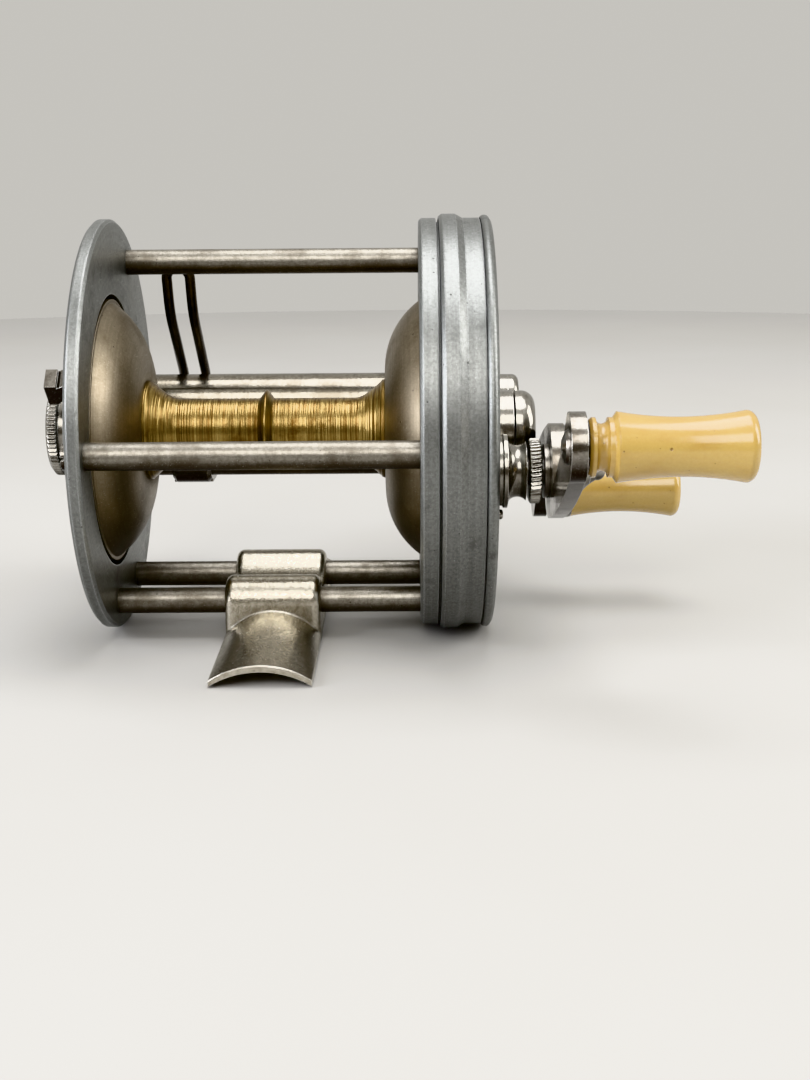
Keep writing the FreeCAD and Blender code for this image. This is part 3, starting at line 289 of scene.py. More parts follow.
    def pits(self, spacing_mm: float, share: float) -> bpy.types.NodeSocket:
        """Small round marks.

        Args:
            spacing_mm: distance between the places where a mark may be.
            share: the mark's radius as a share of that distance, at the most.

        Returns:
            1 inside a mark and 0 outside.
        """
        inputs = {"Vector": self.place, "Scale": per_metre(spacing_mm), "Randomness": 1.0}
        cells = add_node(self.tree, "TexVoronoi", inputs).outputs
        size = self.add("SeparateColor", {0: cells["Color"]})
        size = self.add("Math", {0: size, 1: self.pit_spread}, operation="POWER")
        reach = self.add("Math", {0: size, 1: share}, operation="MULTIPLY")
        inside = self.add("Math", {0: reach, 1: cells["Distance"]}, operation="SUBTRACT")
        inputs = {0: inside, 1: 0.0, 2: share * self.pit_rim}
        return self.add("MapRange", inputs, interpolation_type="SMOOTHSTEP")

    def layered(
        self, base: str, coats: list[tuple[bpy.types.NodeSocket, float, str]]
    ) -> bpy.types.NodeSocket:
        """Lays colours over each other, from the bare material out.

        Args:
            base: the bare material's hex colour.
            coats: for each coat in order, where it lies, how strong it is and its hex colour.

        Returns:
            The socket of the colour that shows.
        """
        colour: tuple | bpy.types.NodeSocket = linear(base)
        for where, strength, coat in coats:
            share = self.add("Math", {0: where, 1: strength}, operation="MULTIPLY")
            inputs = {0: share, 6: colour, 7: linear(coat)}
            colour = self.add("Mix", inputs, 2, data_type="RGBA")
        return colour

    def bumped(
        self, heights: list[tuple[bpy.types.NodeSocket, float]], normal: bpy.types.NodeSocket
    ) -> bpy.types.NodeSocket:
        """Lays bump over bump.

        Args:
            heights: each pattern from 0 to 1 with its depth in mm, below 0 where it is sunk.
            normal: the normal to start from.

        Returns:
            The normal with all of them on it.
        """
        for height, depth_mm in heights:
            inputs = {"Height": height, "Normal": normal, "Distance": abs(depth_mm) * MM}
            normal = self.add("Bump", inputs, invert=depth_mm < 0)
        return normal

    def close(self, inputs: dict) -> bpy.types.Material:
        """Adds the shader and the output.

        Args:
            inputs: sockets or constants for the shader's inputs, by name.

        Returns:
            The finished material.
        """
        shader = self.add("BsdfPrincipled", inputs)
        add_node(self.tree, "OutputMaterial", {"Surface": shader})
        return self.material


@dataclass(frozen=True)
class Metal:
    """A bare or plated metal with its tool marks, tarnish, grime and wear, and with painted shade
    darkening it in crevices and underneath.

    Colours are sRGB hex, and every size is in millimetres. A band is where a pattern from
    0 to 1 starts to show and where it shows in full. tarnish_limits are the levels that
    patches start at on a clean piece and on a wholly dull one, and dulled_by says how much
    the tool marks, the speckle and the tarnish each roughen it.
    """

    name: str
    clean: str
    tarnish: str
    worn: str
    grime_and_shade: str
    roughness: tuple[float, float]
    grain: Grain
    grain_pitch: float
    grain_depth: float
    tarnish_patch: float
    tarnish_share: float
    tarnish_strength: float = 0.8
    tarnish_limits: tuple[float, float] = (0.72, 0.22)
    tarnish_rim: float = 0.2
    grain_share: float = 0.35
    grain_band: tuple[float, float] = (0.3, 0.7)
    lathe_sweep: float = 3.0
    draw_stretch: tuple[float, float, float] = (40.0, 1.0, 1.0)
    rub_stretch: tuple[float, float, float] = (1.0, 2.5, 1.5)
    speckle: float = 0.32
    speckle_share: float = 0.3
    speckle_depth: float = 0.006
    speckle_band: tuple[float, float] = (0.35, 0.7)
    scratch_share: float = 0.3
    scratch_size: tuple[float, float] = (3.0, 0.16)
    pit_spacing: float = 0.8
    pit_share: float = 0.14
    pit_depth: float = 0.02
    pit_shade: float = 0.7
    edge: float = 0.14
    edge_wear: float = 0.7
    chip_band: tuple[float, float] = (0.8, 1.25)
    # Grime and painted shade in crevices: how far they reach, how strong they are, and how much the
    # grime dulls.
    crevice_reach: float = 1.6
    grime_and_shade_share: float = 0.7
    grime_dulls: float = 0.15
    # Painted shade: how much darker the faces that turn down are drawn.
    underside_shade_share: float = 0.6
    dulled_by: tuple[float, float, float] = (0.4, 0.3, 0.3)

    def marks(self, surface: Surface) -> bpy.types.NodeSocket:
        """Lays the tool marks.

        Args:
            surface: the material being laid.

        Returns:
            The marks, from 0 to 1.
        """
        pitch = self.grain_pitch
        if self.grain is Grain.TURNED:
            vector, detail, rough = surface.turned(pitch, self.lathe_sweep), 4.0, 0.7
        elif self.grain is Grain.DRAWN:
            vector = surface.stretched(*(pitch * length for length in self.draw_stretch))
            detail, rough = 3.0, 0.6
        else:
            vector = surface.stretched(*(pitch * length for length in self.rub_stretch))
            detail, rough = 6.0, 0.7
        inputs = {"Vector": vector, "Scale": 1.0, "Detail": detail, "Roughness": rough}
        return surface.add("TexNoise", inputs)

    def tarnished(self, surface: Surface) -> bpy.types.NodeSocket:
        """Lays the patches that have gone dull.

        Args:
            surface: the material being laid.

        Returns:
            1 in a patch and 0 on clean metal.
        """
        scale = per_metre(self.tarnish_patch)
        inputs = {"Vector": surface.place, "Scale": scale, "Detail": 6.0}
        patches = surface.add("TexNoise", inputs | {"Roughness": RAGGED_NOISE})
        none, full = self.tarnish_limits
        low = none + (full - none) * self.tarnish_share
        inputs = {0: patches, 1: low, 2: low + self.tarnish_rim}
        return surface.add("MapRange", inputs, interpolation_type="SMOOTHSTEP")

    def wear(
        self, surface: Surface, edge: bpy.types.NodeSocket, speckle: bpy.types.NodeSocket
    ) -> bpy.types.NodeSocket:
        """Lays the bright wear on edges and in scratches.

        Args:
            surface: the material being laid.
            edge: how much each point is an edge.
            speckle: the fine pattern that breaks the worn edges up.

        Returns:
            How much of the bright metal shows.
        """
        low, high = self.chip_band
        chipped = surface.add("Math", {0: edge, 1: speckle}, operation="ADD")
        inputs = {0: chipped, 1: low, 2: high}
        chipped = surface.add("MapRange", inputs, interpolation_type="SMOOTHSTEP")
        chipped = surface.add("Math", {0: chipped, 1: self.edge_wear}, operation="MULTIPLY")
        rubbed = surface.scratches(*self.scratch_size)
        rubbed = surface.add("Math", {0: rubbed, 1: self.scratch_share}, operation="MULTIPLY")
        return surface.add("Math", {0: chipped, 1: rubbed}, operation="MAXIMUM")

    def material(self, axis: Axis, suffix: str) -> bpy.types.Material:
        """Builds the material.

        Args:
            axis: what the piece was turned about.
            suffix: tells this material's name from others of the same finish.

        Returns:
            The finished material.
        """
        surface = Surface(f"{self.name}_{suffix}", axis)
        marks = self.marks(surface)
        scale = per_metre(self.speckle)
        inputs = {"Vector": surface.place, "Scale": scale, "Detail": 4.0}
        speckle = surface.add("TexNoise", inputs | {"Roughness": RAGGED_NOISE})
        tarnished = self.tarnished(surface)
        normal, edge = surface.edges(self.edge)
        crevices = surface.crevices(self.crevice_reach)
        grime_and_shade = surface.add("Math", {0: crevices, 1: self.grime_and_shade_share}, operation="MULTIPLY")
        pits = surface.pits(self.pit_spacing, self.pit_share)
        shown = []
        for pattern, (low, high) in ((marks, self.grain_band), (speckle, self.speckle_band)):
            inputs = {0: pattern, 1: low, 2: high}
            shown.append(surface.add("MapRange", inputs, interpolation_type="SMOOTHSTEP"))
        coats = [
            (tarnished, self.tarnish_strength, self.tarnish),
            (shown[0], self.grain_share, self.tarnish),
            (shown[1], self.speckle_share, self.tarnish),
            # Painted shade: faces that turn down are drawn darker.
            (surface.painted_underside_shade(), self.underside_shade_share, self.grime_and_shade),
            # Crevices darken with grime and painted shade.
            (grime_and_shade, 1.0, self.grime_and_shade),
            (self.wear(surface, edge, speckle), 1.0, self.worn),
            (pits, self.pit_shade, self.grime_and_shade),
        ]
        dulled: float | bpy.types.NodeSocket = 0.0
        for pattern, share in zip((marks, speckle, tarnished), self.dulled_by):
            inputs = {0: pattern, 1: share, 2: dulled}
            dulled = surface.add("Math", inputs, operation="MULTIPLY_ADD")
        low, high = self.roughness
        rough = surface.add("MapRange", {0: dulled, 3: low, 4: high})
        inputs = {0: grime_and_shade, 1: self.grime_dulls, 2: rough}
        rough = surface.add("Math", inputs, operation="MULTIPLY_ADD")
        relief = [(marks, self.grain_depth), (speckle, self.speckle_depth), (pits, -self.pit_depth)]
        return surface.close(
            {
                "Metallic": 1.0,
                "Base Color": surface.layered(self.clean, coats),
                "Roughness": rough,
                "Normal": surface.bumped(relief, normal),
            }
        )


@dataclass(frozen=True)
class AgedPlastic:
    """Early cast plastic gone from cream to yellow, turned, polished and handled.

    Colours are sRGB hex, and every size is in millimetres.
    """

    name: str
    cream: str
    amber: str
    speck: str
    streak: float
    speck_spacing: float
    dent_spacing: float
    roughness: tuple[float, float]
    streak_stretch: float = 2.5
    streak_band: tuple[float, float] = (0.4, 0.8)
    streak_share: float = 0.45
    grain_size: float = 0.3
    grain_share: float = 0.3
    grain_depth: float = 0.01
    ring_pitch: float = 0.3
    ring_sweep: float = 2.0
    ring_depth: float = 0.008
    speck_share: float = 0.15
    speck_shade: float = 0.45
    speck_depth: float = 0.03
    dent_share: float = 0.13
    dent_shade: float = 0.7
    dent_depth: float = 0.05
    # Crevices darken, partly from yellowed plastic and partly from painted shade.
    crevice_reach: float = 1.5
    grime_and_shade_share: float = 0.8
    edge: float = 0.25
    edge_share: float = 0.35
    handled_patch: float = 2.2

    def material(self, axis: Axis, suffix: str) -> bpy.types.Material:
        """Builds the material.

        Args:
            axis: what the knob was turned about.
            suffix: tells this material's name from others of the same finish.

        Returns:
            The finished material.
        """
        surface = Surface(f"{self.name}_{suffix}", axis)
        unit = {"Scale": 1.0, "Roughness": SOFT_NOISE}
        streaks = surface.stretched(self.streak * self.streak_stretch, self.streak, self.streak)
        clouds = surface.add("TexNoise", unit | {"Vector": streaks, "Detail": 4.0})
        low, high = self.streak_band
        inputs = {0: clouds, 1: low, 2: high}
        clouds = surface.add("MapRange", inputs, interpolation_type="SMOOTHSTEP")
        turned = surface.turned(self.ring_pitch, self.ring_sweep)
        rings = surface.add("TexNoise", unit | {"Vector": turned, "Detail": 2.0})
        inputs = {"Vector": surface.place, "Roughness": SOFT_NOISE}
        size = {"Scale": per_metre(self.grain_size), "Detail": 3.0}
        grain = surface.add("TexNoise", inputs | size)
        size = {"Scale": per_metre(self.handled_patch), "Detail": 4.0}
        handled = surface.add("TexNoise", inputs | size)
        low, high = self.roughness
        rough = surface.add("MapRange", {0: handled, 3: low, 4: high})
        specks = surface.pits(self.speck_spacing, self.speck_share)
        dents = surface.pits(self.dent_spacing, self.dent_share)
        normal, edge = surface.edges(self.edge)
        coats = [
            (clouds, self.streak_share, self.amber),
            (grain, self.grain_share, self.amber),
            # Crevices go amber and darker, partly from yellowed plastic and partly from painted
            # shade.
            (surface.crevices(self.crevice_reach), self.grime_and_shade_share, self.amber),
            (edge, self.edge_share, self.amber),
            (specks, self.speck_shade, self.speck),
            (dents, self.dent_shade, self.speck),
        ]
        relief = [(rings, self.ring_depth), (grain, self.grain_depth)]
        relief += [(dents, -self.dent_depth), (specks, -self.speck_depth)]
        return surface.close(
            {
                "Base Color": surface.layered(self.cream, coats),
                "Roughness": rough,
                "Normal": surface.bumped(relief, normal),
                "IOR": 1.54,
                "Coat Weight": 0.4,
                "Coat Roughness": 0.08,
                "Subsurface Weight": 0.06,
                "Subsurface Radius": (1.0, 0.6, 0.2),
                "Subsurface Scale": MM,
            }
        )


# Real tool marks and casting grain are 0.02 to 0.1 mm apart, too fine to show. Every grain_pitch
# and speckle of a finish is drawn at 0.15 to 0.7 mm instead, as coarse as it needs to show.

# Die-cast aluminium, turned and gone grey: satin and faintly sandy, with short scratches from
# use and a bright rubbed line on each rim. The casting's real grain is under 0.1 mm and is drawn
# at 0.34, and the lathe's rings at 0.35.
CAST_ALUMINIUM = Metal(
    name="cast_aluminium",
    clean="8F918F", tarnish="636462", worn="CBCDCE", grime_and_shade="3A3937",
    roughness=(0.34, 0.56), grain=Grain.TURNED, grain_pitch=0.35, grain_depth=0.005,
    tarnish_patch=6.0, tarnish_share=0.36, grain_share=0.3,
    speckle=0.34, speckle_share=0.55, speckle_depth=0.02, scratch_share=0.3,
    pit_spacing=0.9, pit_share=0.16, edge=0.3, edge_wear=0.75,
    grime_and_shade_share=0.5, underside_shade_share=0.3,
)
# Nickel plate over brass, once bright: warm, with fine drawn lines along the rods and dull freckles
# where it has begun to go, and with painted shade that makes it brown underneath. Real die lines
# are a few hundredths of a millimetre apart and are drawn at 0.22.
NICKEL_ROD = Metal(
    name="nickel_plate_drawn",
    clean="9E9A91", tarnish="6B655B", worn="D6D4CC", grime_and_shade="2B241E",
    roughness=(0.3, 0.5), grain=Grain.DRAWN, grain_pitch=0.22, grain_depth=0.004,
    tarnish_patch=4.0, tarnish_share=0.55,
    speckle=0.4, speckle_share=0.6, speckle_depth=0.022, scratch_share=0.25,
    underside_shade_share=0.85,
)
# The tube is brighter: the carriage and the line run along it and keep it rubbed, though its
# plate is thin and dull in patches.
NICKEL_TUBE = replace(
    NICKEL_ROD,
    name="nickel_plate_tube", clean="A5A095", tarnish="6A6357",
    roughness=(0.1, 0.28), speckle_depth=0.01, tarnish_share=0.6,
)
# The same plate on turned caps: the lathe's rings show through it, drawn at 0.3 mm where the
# real feed is about 0.1.
NICKEL_TURNED = Metal(
    name="nickel_plate_turned",
    clean="B0ADA6", tarnish="6D675E", worn="E2E1DC", grime_and_shade="201B17",
    roughness=(0.12, 0.28), grain=Grain.TURNED, grain_pitch=0.3, grain_depth=0.004,
    tarnish_patch=3.0, tarnish_share=0.45, scratch_share=0.2,
    grime_and_shade_share=0.95, underside_shade_share=0.8,
)
# The same plate, mopped on flat and bent pieces: soft scratches every way.
NICKEL_RUBBED = Metal(
    name="nickel_plate_rubbed",
    clean="A8A49D", tarnish="645D54", worn="E2E1DC", grime_and_shade="201915",
    roughness=(0.12, 0.3), grain=Grain.RUBBED, grain_pitch=0.5, grain_depth=0.004,
    tarnish_patch=3.0, tarnish_share=0.55, scratch_share=0.25,
    grime_and_shade_share=0.95, underside_shade_share=1.0,
)
# Nickel silver sheet, spun and left satin: warm grey-brown, with rings hardly seen.
NICKEL_SILVER = Metal(
    name="nickel_silver_spun",
    clean="928877", tarnish="6A604F", worn="BCB5A7", grime_and_shade="2A241D",
    roughness=(0.34, 0.5), grain=Grain.TURNED, grain_pitch=0.4, grain_depth=0.006,
    tarnish_patch=8.0, tarnish_share=0.55, speckle_share=0.35, scratch_share=0.3,
    pit_spacing=1.6, pit_share=0.1, edge=0.2, edge_wear=0.4, underside_shade_share=0.75,
)
# Yellow brass, turned: bright crests between the brown rings that wound line has pressed in.
# The tool's own marks are about 0.1 mm apart and are drawn at 0.28.
ARBOR_BRASS = Metal(
    name="arbor_brass_turned",
    clean="B7A06A", tarnish="54381A", worn="E6D49E", grime_and_shade="2A1B0A",
    roughness=(0.24, 0.4), grain=Grain.TURNED, grain_pitch=0.28, grain_depth=0.02,
    tarnish_patch=2.5, tarnish_share=0.4, grain_share=0.9, speckle_share=0.2,
    scratch_share=0.1, pit_spacing=1.5, pit_share=0.08, edge=0.05, edge_wear=0.5,
    underside_shade_share=0.6,
)
# Cut brass of the gears, under a little old oil.
GEAR_BRASS = Metal(
    name="gear_brass_cut",
    clean="C7A65C", tarnish="7A5822", worn="EBD79F", grime_and_shade="33220E",
    roughness=(0.22, 0.4), grain=Grain.TURNED, grain_pitch=0.3, grain_depth=0.006,
    tarnish_patch=3.0, tarnish_share=0.4,
)
# Ground steel of the moving parts, with grinding lines drawn at 0.2 mm to show at all.
GROUND_STEEL = Metal(
    name="ground_steel",
    clean="A09F9C", tarnish="625D57", worn="D2D1CD", grime_and_shade="241E18",
    roughness=(0.18, 0.36), grain=Grain.TURNED, grain_pitch=0.2, grain_depth=0.004,
    tarnish_patch=3.0, tarnish_share=0.4,
)
# Hard drawn wire, nearly black with old tarnish and bright only where line has run.
GUIDE_WIRE = Metal(
    name="guide_wire_drawn",
    clean="5E564B", tarnish="332B23", worn="B5AC9B", grime_and_shade="15100C",
    roughness=(0.16, 0.32), grain=Grain.DRAWN, grain_pitch=0.15, grain_depth=0.003,
    tarnish_patch=2.0, tarnish_share=0.6, edge_wear=0.3, underside_shade_share=0.8,
)
# Pressed nickel silver foot: bright on the saddle, darkened in the hollows and underneath by grime
# and painted shade, with thin light edges and marks pressed in by reel seats.
WORN_FOOT = Metal(
    name="nickel_silver_worn",
    clean="CFCABD", tarnish="8E8573", worn="EBE8E0", grime_and_shade="1F1A13",
    roughness=(0.18, 0.4), grain=Grain.RUBBED, grain_pitch=0.7, grain_depth=0.006,
    tarnish_patch=4.5, tarnish_share=0.35, grain_share=0.25,
    speckle=0.5, speckle_share=0.6, speckle_depth=0.03, scratch_share=0.6,
    pit_spacing=0.7, pit_share=0.18, edge=0.3, edge_wear=0.95,
    crevice_reach=1.4, grime_and_shade_share=0.35, underside_shade_share=0.35,
)
# Spring steel, blued once and now grey.
SPRING_STEEL = Metal(
    name="spring_steel",
    clean="6E7076", tarnish="4B4640", worn="A8A9AC", grime_and_shade="1C1815",
    roughness=(0.24, 0.4), grain=Grain.RUBBED, grain_pitch=0.3, grain_depth=0.004,
    tarnish_patch=2.0, tarnish_share=0.4,
)
# Cream cast plastic gone yellow, polished by hands, with brown specks, small knocks and pits.
# Its filler's grain and the turning rings are finer than 0.1 mm and are drawn at 0.3.
IVORY_PLASTIC = AgedPlastic(
    name="ivory_plastic_turned",
    cream="BCA160", amber="936D30", speck="5E3F1C",
    streak=3.0, speck_spacing=0.8, dent_spacing=2.2, roughness=(0.14, 0.26),
)
Dressing = tuple[Metal | AgedPlastic, str, tuple[str, ...]]


def lathe(
    name: str, outline: list[tuple[float, float]], axis: Axis, steps: int
) -> bpy.types.Object:
    """Turns a closed outline into a solid mesh.

    Args:
        name: the piece's name.
        outline: corners of the closed outline as (x, radius), in metres.
        axis: the line to turn it about.
        steps: corners round the axis.

    Returns:
        The new object, at the origin, smooth shaded.
    """
    turned = bmesh.new()
    angles = [math.tau * step / steps for step in range(steps)]
    rings = []
    for x, radius in outline:
        places = [(x, axis.y + radius * math.sin(a), axis.z + radius * math.cos(a)) for a in angles]
        rings.append([turned.verts.new(place) for place in places])
    for ring, after in zip(rings, rings[1:] + rings[:1]):
        for i in range(steps):
            j = (i + 1) % steps
            turned.faces.new((ring[i], ring[j], after[j], after[i]))
    bmesh.ops.recalc_face_normals(turned, faces=turned.faces)
    mesh = bpy.data.meshes.new(name)
    turned.to_mesh(mesh)
    turned.free()
    mesh.shade_smooth()
    piece = bpy.data.objects.new(name, mesh)
    bpy.context.scene.collection.objects.link(piece)
    return piece


@dataclass
class SubAssembly:
    """A group of CAD nodes that are dressed together."""

    finishes: tuple[Dressing, ...] = ()

    def dress(self, nodes: dict[str, bpy.types.Object]) -> None:
        """Gives each node its finish.

        Args:
            nodes: every CAD node by name.
        """
        for finish, centre, names in self.finishes:
            material = finish.material(Axis.of(centre), centre)
            for name in names:
                for slot in nodes[name].material_slots:
                    slot.material = material
                LOG.info("%s dressed in %s", name, finish.name)


@dataclass
class TailEnd(SubAssembly):
    """The open end plate with its click and its tension cap."""

    finishes: tuple[Dressing, ...] = (
        (CAST_ALUMINIUM, "tail_plate", ("tail_plate",)),
        (NICKEL_TURNED, "tail_cap", ("tail_cap",)),
        (GEAR_BRASS, "tail_bush", ("tail_bush",)),
        (NICKEL_RUBBED, "click_button", ("click_button",)),
        (GROUND_STEEL, "click_pawl", ("click_pawl", "click_wheel")),
        (SPRING_STEEL, "click_spring", ("click_spring",)),
    )


@dataclass
class HeadEnd(SubAssembly):
    """The gear case: plate, ring, cover, posts and screws."""

    finishes: tuple[Dressing, ...] = (
        (CAST_ALUMINIUM, "head_ring", ("head_plate", "head_ring", "head_cover")),
        (GROUND_STEEL, "case_posts", ("case_posts", "idler_post", "shaft_foot")),
        (NICKEL_RUBBED, "cover_screws", ("cover_screws",)),
        (NICKEL_TURNED, "spool_cap", ("spool_cap_boss", "spool_cap")),
        (NICKEL_TURNED, "worm_cap", ("worm_cap_boss", "worm_cap")),
        (GEAR_BRASS, "drive_gear", ("drive_gear",)),
        (GEAR_BRASS, "idler_gear", ("idler_gear",)),
        (GEAR_BRASS, "worm_gear", ("worm_gear",)),
        (GROUND_STEEL, "spool_pinion", ("spool_pinion",)),
    )


@dataclass
class Cage(SubAssembly):
    """The pillars that join the ends, and the foot between the lower two."""

    finishes: tuple[Dressing, ...] = (
        (
            NICKEL_ROD,
            "pillar_top",
            (
                "pillar_top",
                "pillar_rear",
                "pillar_lower_rear",
                "pillar_lower_front",
                "guide_rod",
            ),
        ),
        (NICKEL_RUBBED, "tail_screws", ("tail_screws", "head_screws")),
        (WORN_FOOT, "reel_foot", ("reel_foot",)),
    )


@dataclass
class LevelWind(SubAssembly):
    """The slotted tube, its worm, and the carriage with the two wires."""

    finishes: tuple[Dressing, ...] = (
        (NICKEL_TUBE, "level_wind_tube", ("level_wind_tube",)),
        (GROUND_STEEL, "worm", ("worm", "pawl")),
        (NICKEL_RUBBED, "carriage", ("carriage", "pawl_cap")),
        (GUIDE_WIRE, "line_guide", ("line_guide",)),
    )


@dataclass
class Spool(SubAssembly):
    """The brass arbor between two spun flanges on its spindle.

    Sizes are in millimetres. ring_shape gives each ring's corners as shares of its pitch and
    of its depth.
    """

    bore_r: float = 1.2
    barrel_r: float = 3.88
    end_r: float = 6.1
    end_land: float = 0.4
    flare_l: float = 3.3
    flare_curve: float = 1.5
    rib_r: float = 4.88
    rib_w: float = 1.8
    rib_land: float = 0.24
    ring_pitch: tuple[float, float] = (0.16, 0.4)
    ring_depth: tuple[float, float] = (0.015, 0.075)
    ring_shape: tuple[tuple[float, float], ...] = (
        (0.0, 0.0),
        (0.3, 0.1),
        (0.55, 1.0),
        (0.85, 0.3),
    )
    steps_round: int = 96
    seed: int = 11
    finishes: tuple[Dressing, ...] = (
        (NICKEL_SILVER, "spool_flange_tail", ("spool_flange_tail", "spool_flange_head")),
        (GROUND_STEEL, "spool_spindle", ("spool_spindle",)),
    )

    def barrel_radius(self, from_end: float, from_middle: float) -> float:
        """Radius of the plain turned shape.

        Args:
            from_end: distance from the nearer end.
            from_middle: distance from the middle.

        Returns:
            The radius before any ring is cut.
        """
        if from_end < self.end_land:
            return self.end_r
        if from_middle < self.rib_w / 2:
            slope = (self.rib_w / 2 - from_middle) / (self.rib_w / 2 - self.rib_land / 2)
            return self.barrel_r + (self.rib_r - self.barrel_r) * min(slope, 1.0)
        left = max(0.0, 1 - (from_end - self.end_land) / self.flare_l)
        return self.barrel_r + (self.end_r - self.barrel_r) * left**self.flare_curve

    def outline(self, x0: float, x1: float) -> list[tuple[float, float]]:
        """The arbor's outline with every ring in it, in millimetres.

        Args:
            x0: the tail end.
            x1: the head end.

        Returns:
            Corners as (x, radius), closed through the bore.
        """
        dice = random.Random(self.seed)
        corners = [(x0, self.bore_r)]
        x = x0
        while x < x1:
            pitch = dice.uniform(*self.ring_pitch)
            depth = dice.uniform(*self.ring_depth)
            for share, sunk in self.ring_shape:
                at = min(x + pitch * share, x1)
                plain = self.barrel_radius(min(at - x0, x1 - at), abs(at - (x0 + x1) / 2))
                corners.append((at, plain - depth * sunk))
            x += pitch
        inside = [corner for corner in corners if corner[0] < x1]
        return inside + [(x1, self.end_r), (x1, self.bore_r)]

    def build(self) -> bpy.types.Object:
        """Builds the arbor with the rings that wound line has pressed into it.

        Returns:
            The new piece, riding on the spool in place of the CAD arbor.
        """
        low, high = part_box("spool_arbor")
        axis = Axis.of("spool_arbor")
        shape = [(x * MM, radius * MM) for x, radius in self.outline(low.x / MM, high.x / MM)]
        arbor = lathe("arbor_ringed", shape, axis, self.steps_round)
        arbor.data.materials.append(ARBOR_BRASS.material(axis, "arbor"))
        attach(arbor, "spool")
        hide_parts("spool_arbor")
        return arbor

    def dress(self, nodes: dict[str, bpy.types.Object]) -> None:
        """Dresses the CAD nodes and builds the arbor.

        Args:
            nodes: every CAD node by name.
        """
        super().dress(nodes)
        LOG.info("arbor_ringed built with %d faces", len(self.build().data.polygons))


@dataclass
class CrankEnd(SubAssembly):
    """The drive shaft, its stepped bearing, the crank and the two knobs."""

    finishes: tuple[Dressing, ...] = (
        (
            NICKEL_TURNED,
            "shaft_bearing",
            ("shaft_bearing", "bearing_collar", "bearing_pin", "crank_washer", "crank_nut"),
        ),
        (GROUND_STEEL, "main_shaft", ("main_shaft",)),
        (NICKEL_RUBBED, "crank_arm", ("crank_arm", "knob_rivets")),
        (IVORY_PLASTIC, "knob_rear", ("knob_rear",)),
        (IVORY_PLASTIC, "knob_front", ("knob_front",)),
    )


@dataclass(frozen=True)
class Softbox:
    """A rectangular lamp that looks at the reel. Sizes in metres, power in watts."""

    name: str
    place: tuple[float, float, float]
    size: tuple[float, float]
    power: float
    colour: str

    def build(self, target: Vector) -> None:
        """Adds the lamp, turned to face the reel.

        Args:
            target: the middle of the reel.
        """
        lamp = bpy.data.lights.new(self.name, "AREA")
        lamp.shape = "RECTANGLE"
        lamp.size, lamp.size_y = self.size
        lamp.energy = self.power
        lamp.color = linear(self.colour)[:3]
        holder = bpy.data.objects.new(self.name, lamp)
        holder.location = target + Vector(self.place)
        holder.rotation_euler = (-Vector(self.place)).to_track_quat("-Z", "Y").to_euler()
        bpy.context.scene.collection.objects.link(holder)


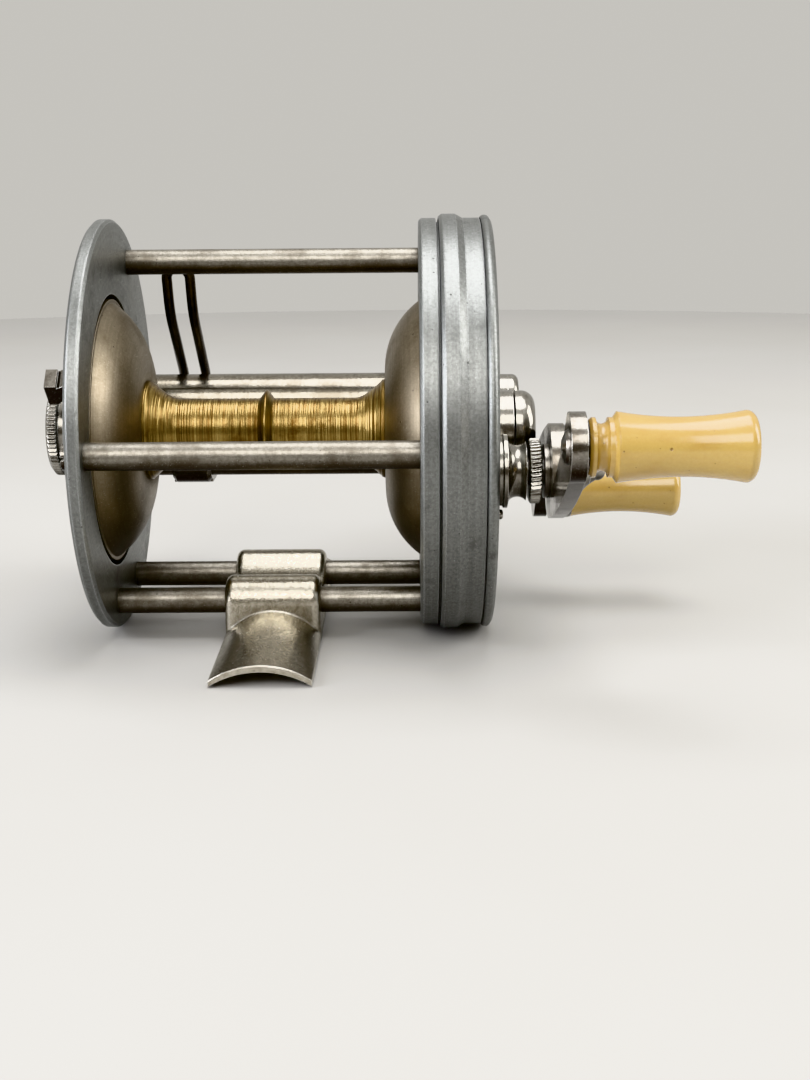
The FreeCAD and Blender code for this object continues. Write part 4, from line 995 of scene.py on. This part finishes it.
@dataclass
class Studio:
    """Floor, lamps, room and camera. Lengths in metres unless they say otherwise."""

    floor_radius: float = 0.454
    floor_steps: int = 96
    floor_colour: str = "B0AFAC"
    floor_mottle: str = "A9A7A3"
    floor_mottle_mm: float = 60.0
    floor_roughness: float = 0.6
    room_ceiling: str = "EFEDE8"
    room_wall: str = "CBC9C4"
    room_dim: str = "7A756E"
    room_strength: float = 1.0
    wall_rise: tuple[float, float] = (-0.1, 0.55)
    ceiling_rise: tuple[float, float] = (0.35, 0.9)
    view: str = "Khronos PBR Neutral"
    eye_mm: tuple[float, float, float] = (4.50, -186.96, 57.03)
    pitch_deg: float = 13.54
    yaw_deg: float = -0.27
    roll_deg: float = -0.45
    lens_mm: float = 51.573
    near_clip: float = 0.01
    softboxes: tuple[Softbox, ...] = (
        Softbox("overhead", (0.05, 0.03, 0.5), (0.4, 0.25), 2.1, "FDFDFF"),
        Softbox("front_key", (-0.05, -0.45, 0.33), (0.3, 0.25), 1.4, "FFFDFA"),
        Softbox("window_left", (-0.5, -0.25, 0.2), (0.3, 0.4), 4.2, "F6F8FF"),
        Softbox("door_right", (0.5, -0.05, 0.25), (0.25, 0.4), 2.6, "FFFEFC"),
    )

    def floor(self, height: float) -> None:
        """Lays the pale round floor.

        Args:
            height: the height of the reel's lowest point.
        """
        mesh = bpy.data.meshes.new("floor")
        turns = [math.tau * i / self.floor_steps for i in range(self.floor_steps)]
        reach = self.floor_radius
        rim = [(reach * math.cos(a), reach * math.sin(a), height) for a in turns]
        mesh.from_pydata(rim, [], [tuple(range(self.floor_steps))])
        floor = bpy.data.objects.new("floor", mesh)
        bpy.context.scene.collection.objects.link(floor)
        surface = Surface("floor_paint", Axis(0.0, 0.0))
        inputs = {"Vector": surface.place, "Scale": per_metre(self.floor_mottle_mm)}
        mottle = surface.add("TexNoise", inputs | {"Detail": 3.0, "Roughness": SOFT_NOISE})
        colour = surface.layered(self.floor_colour, [(mottle, 1.0, self.floor_mottle)])
        paint = surface.close({"Roughness": self.floor_roughness, "Base Color": colour})
        mesh.materials.append(paint)
        floor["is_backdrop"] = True

    def room(self) -> None:
        """A room whose light comes from a pale wall behind the reel and a bright ceiling.

        It lights and mirrors dimly from in front, and looks the same pale wall from every side.
        """
        world = bpy.data.worlds.new("room")
        world.use_nodes = True
        tree = world.node_tree
        tree.nodes.clear()
        direction = add_node(tree, "TexCoord").outputs["Generated"]
        parts = add_node(tree, "SeparateXYZ", {0: direction}).outputs
        colour: tuple | bpy.types.NodeSocket = linear(self.room_dim)
        wall = (parts[1], self.wall_rise, self.room_wall)
        ceiling = (parts[2], self.ceiling_rise, self.room_ceiling)
        for part, (low, high), pale in (wall, ceiling):
            inputs = {0: part, 1: low, 2: high}
            share = add_node(tree, "MapRange", inputs, interpolation_type="SMOOTHSTEP").outputs[0]
            inputs = {0: share, 6: colour, 7: linear(pale)}
            colour = add_node(tree, "Mix", inputs, data_type="RGBA").outputs[2]
        seen = add_node(tree, "LightPath").outputs["Is Camera Ray"]
        inputs = {0: seen, 6: colour, 7: linear(self.room_wall)}
        colour = add_node(tree, "Mix", inputs, data_type="RGBA").outputs[2]
        glow = add_node(tree, "Background", {"Color": colour, "Strength": self.room_strength})
        add_node(tree, "OutputWorld", {"Surface": glow.outputs[0]})
        bpy.context.scene.world = world

    def camera(self) -> None:
        """Sets the camera a hand's length in front of the reel and a little above it."""
        eye = bpy.data.cameras.new("camera")
        eye.lens = self.lens_mm
        eye.clip_start = self.near_clip
        holder = bpy.data.objects.new("camera", eye)
        turn = Matrix.Rotation(math.radians(-self.yaw_deg), 4, "Z")
        tilt = Matrix.Rotation(math.radians(90 - self.pitch_deg), 4, "X")
        roll = Matrix.Rotation(math.radians(self.roll_deg), 4, "Z")
        holder.matrix_world = Matrix.Translation(Vector(self.eye_mm) * MM) @ turn @ tilt @ roll
        bpy.context.scene.collection.objects.link(holder)
        bpy.context.scene.camera = holder

    def build(self, box: tuple[Vector, Vector]) -> None:
        """Sets up everything round the reel.

        Args:
            box: the reel's lowest and highest corner.
        """
        low, high = box
        middle = (low + high) / 2
        self.floor(low.z)
        self.room()
        self.camera()
        bpy.context.scene.view_settings.view_transform = self.view
        for softbox in self.softboxes:
            softbox.build(middle)


def main() -> None:
    """Dresses the reel, sub-assembly by sub-assembly, and sets up the studio."""
    logging.basicConfig(level=logging.INFO, format="%(name)s: %(message)s")
    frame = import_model()
    cad_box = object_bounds()
    for part in (TailEnd(), HeadEnd(), Cage(), LevelWind(), Spool(), CrankEnd()):
        part.dress(frame["nodes"])
    Studio().build(cad_box)


if __name__ == "__main__":
    main()
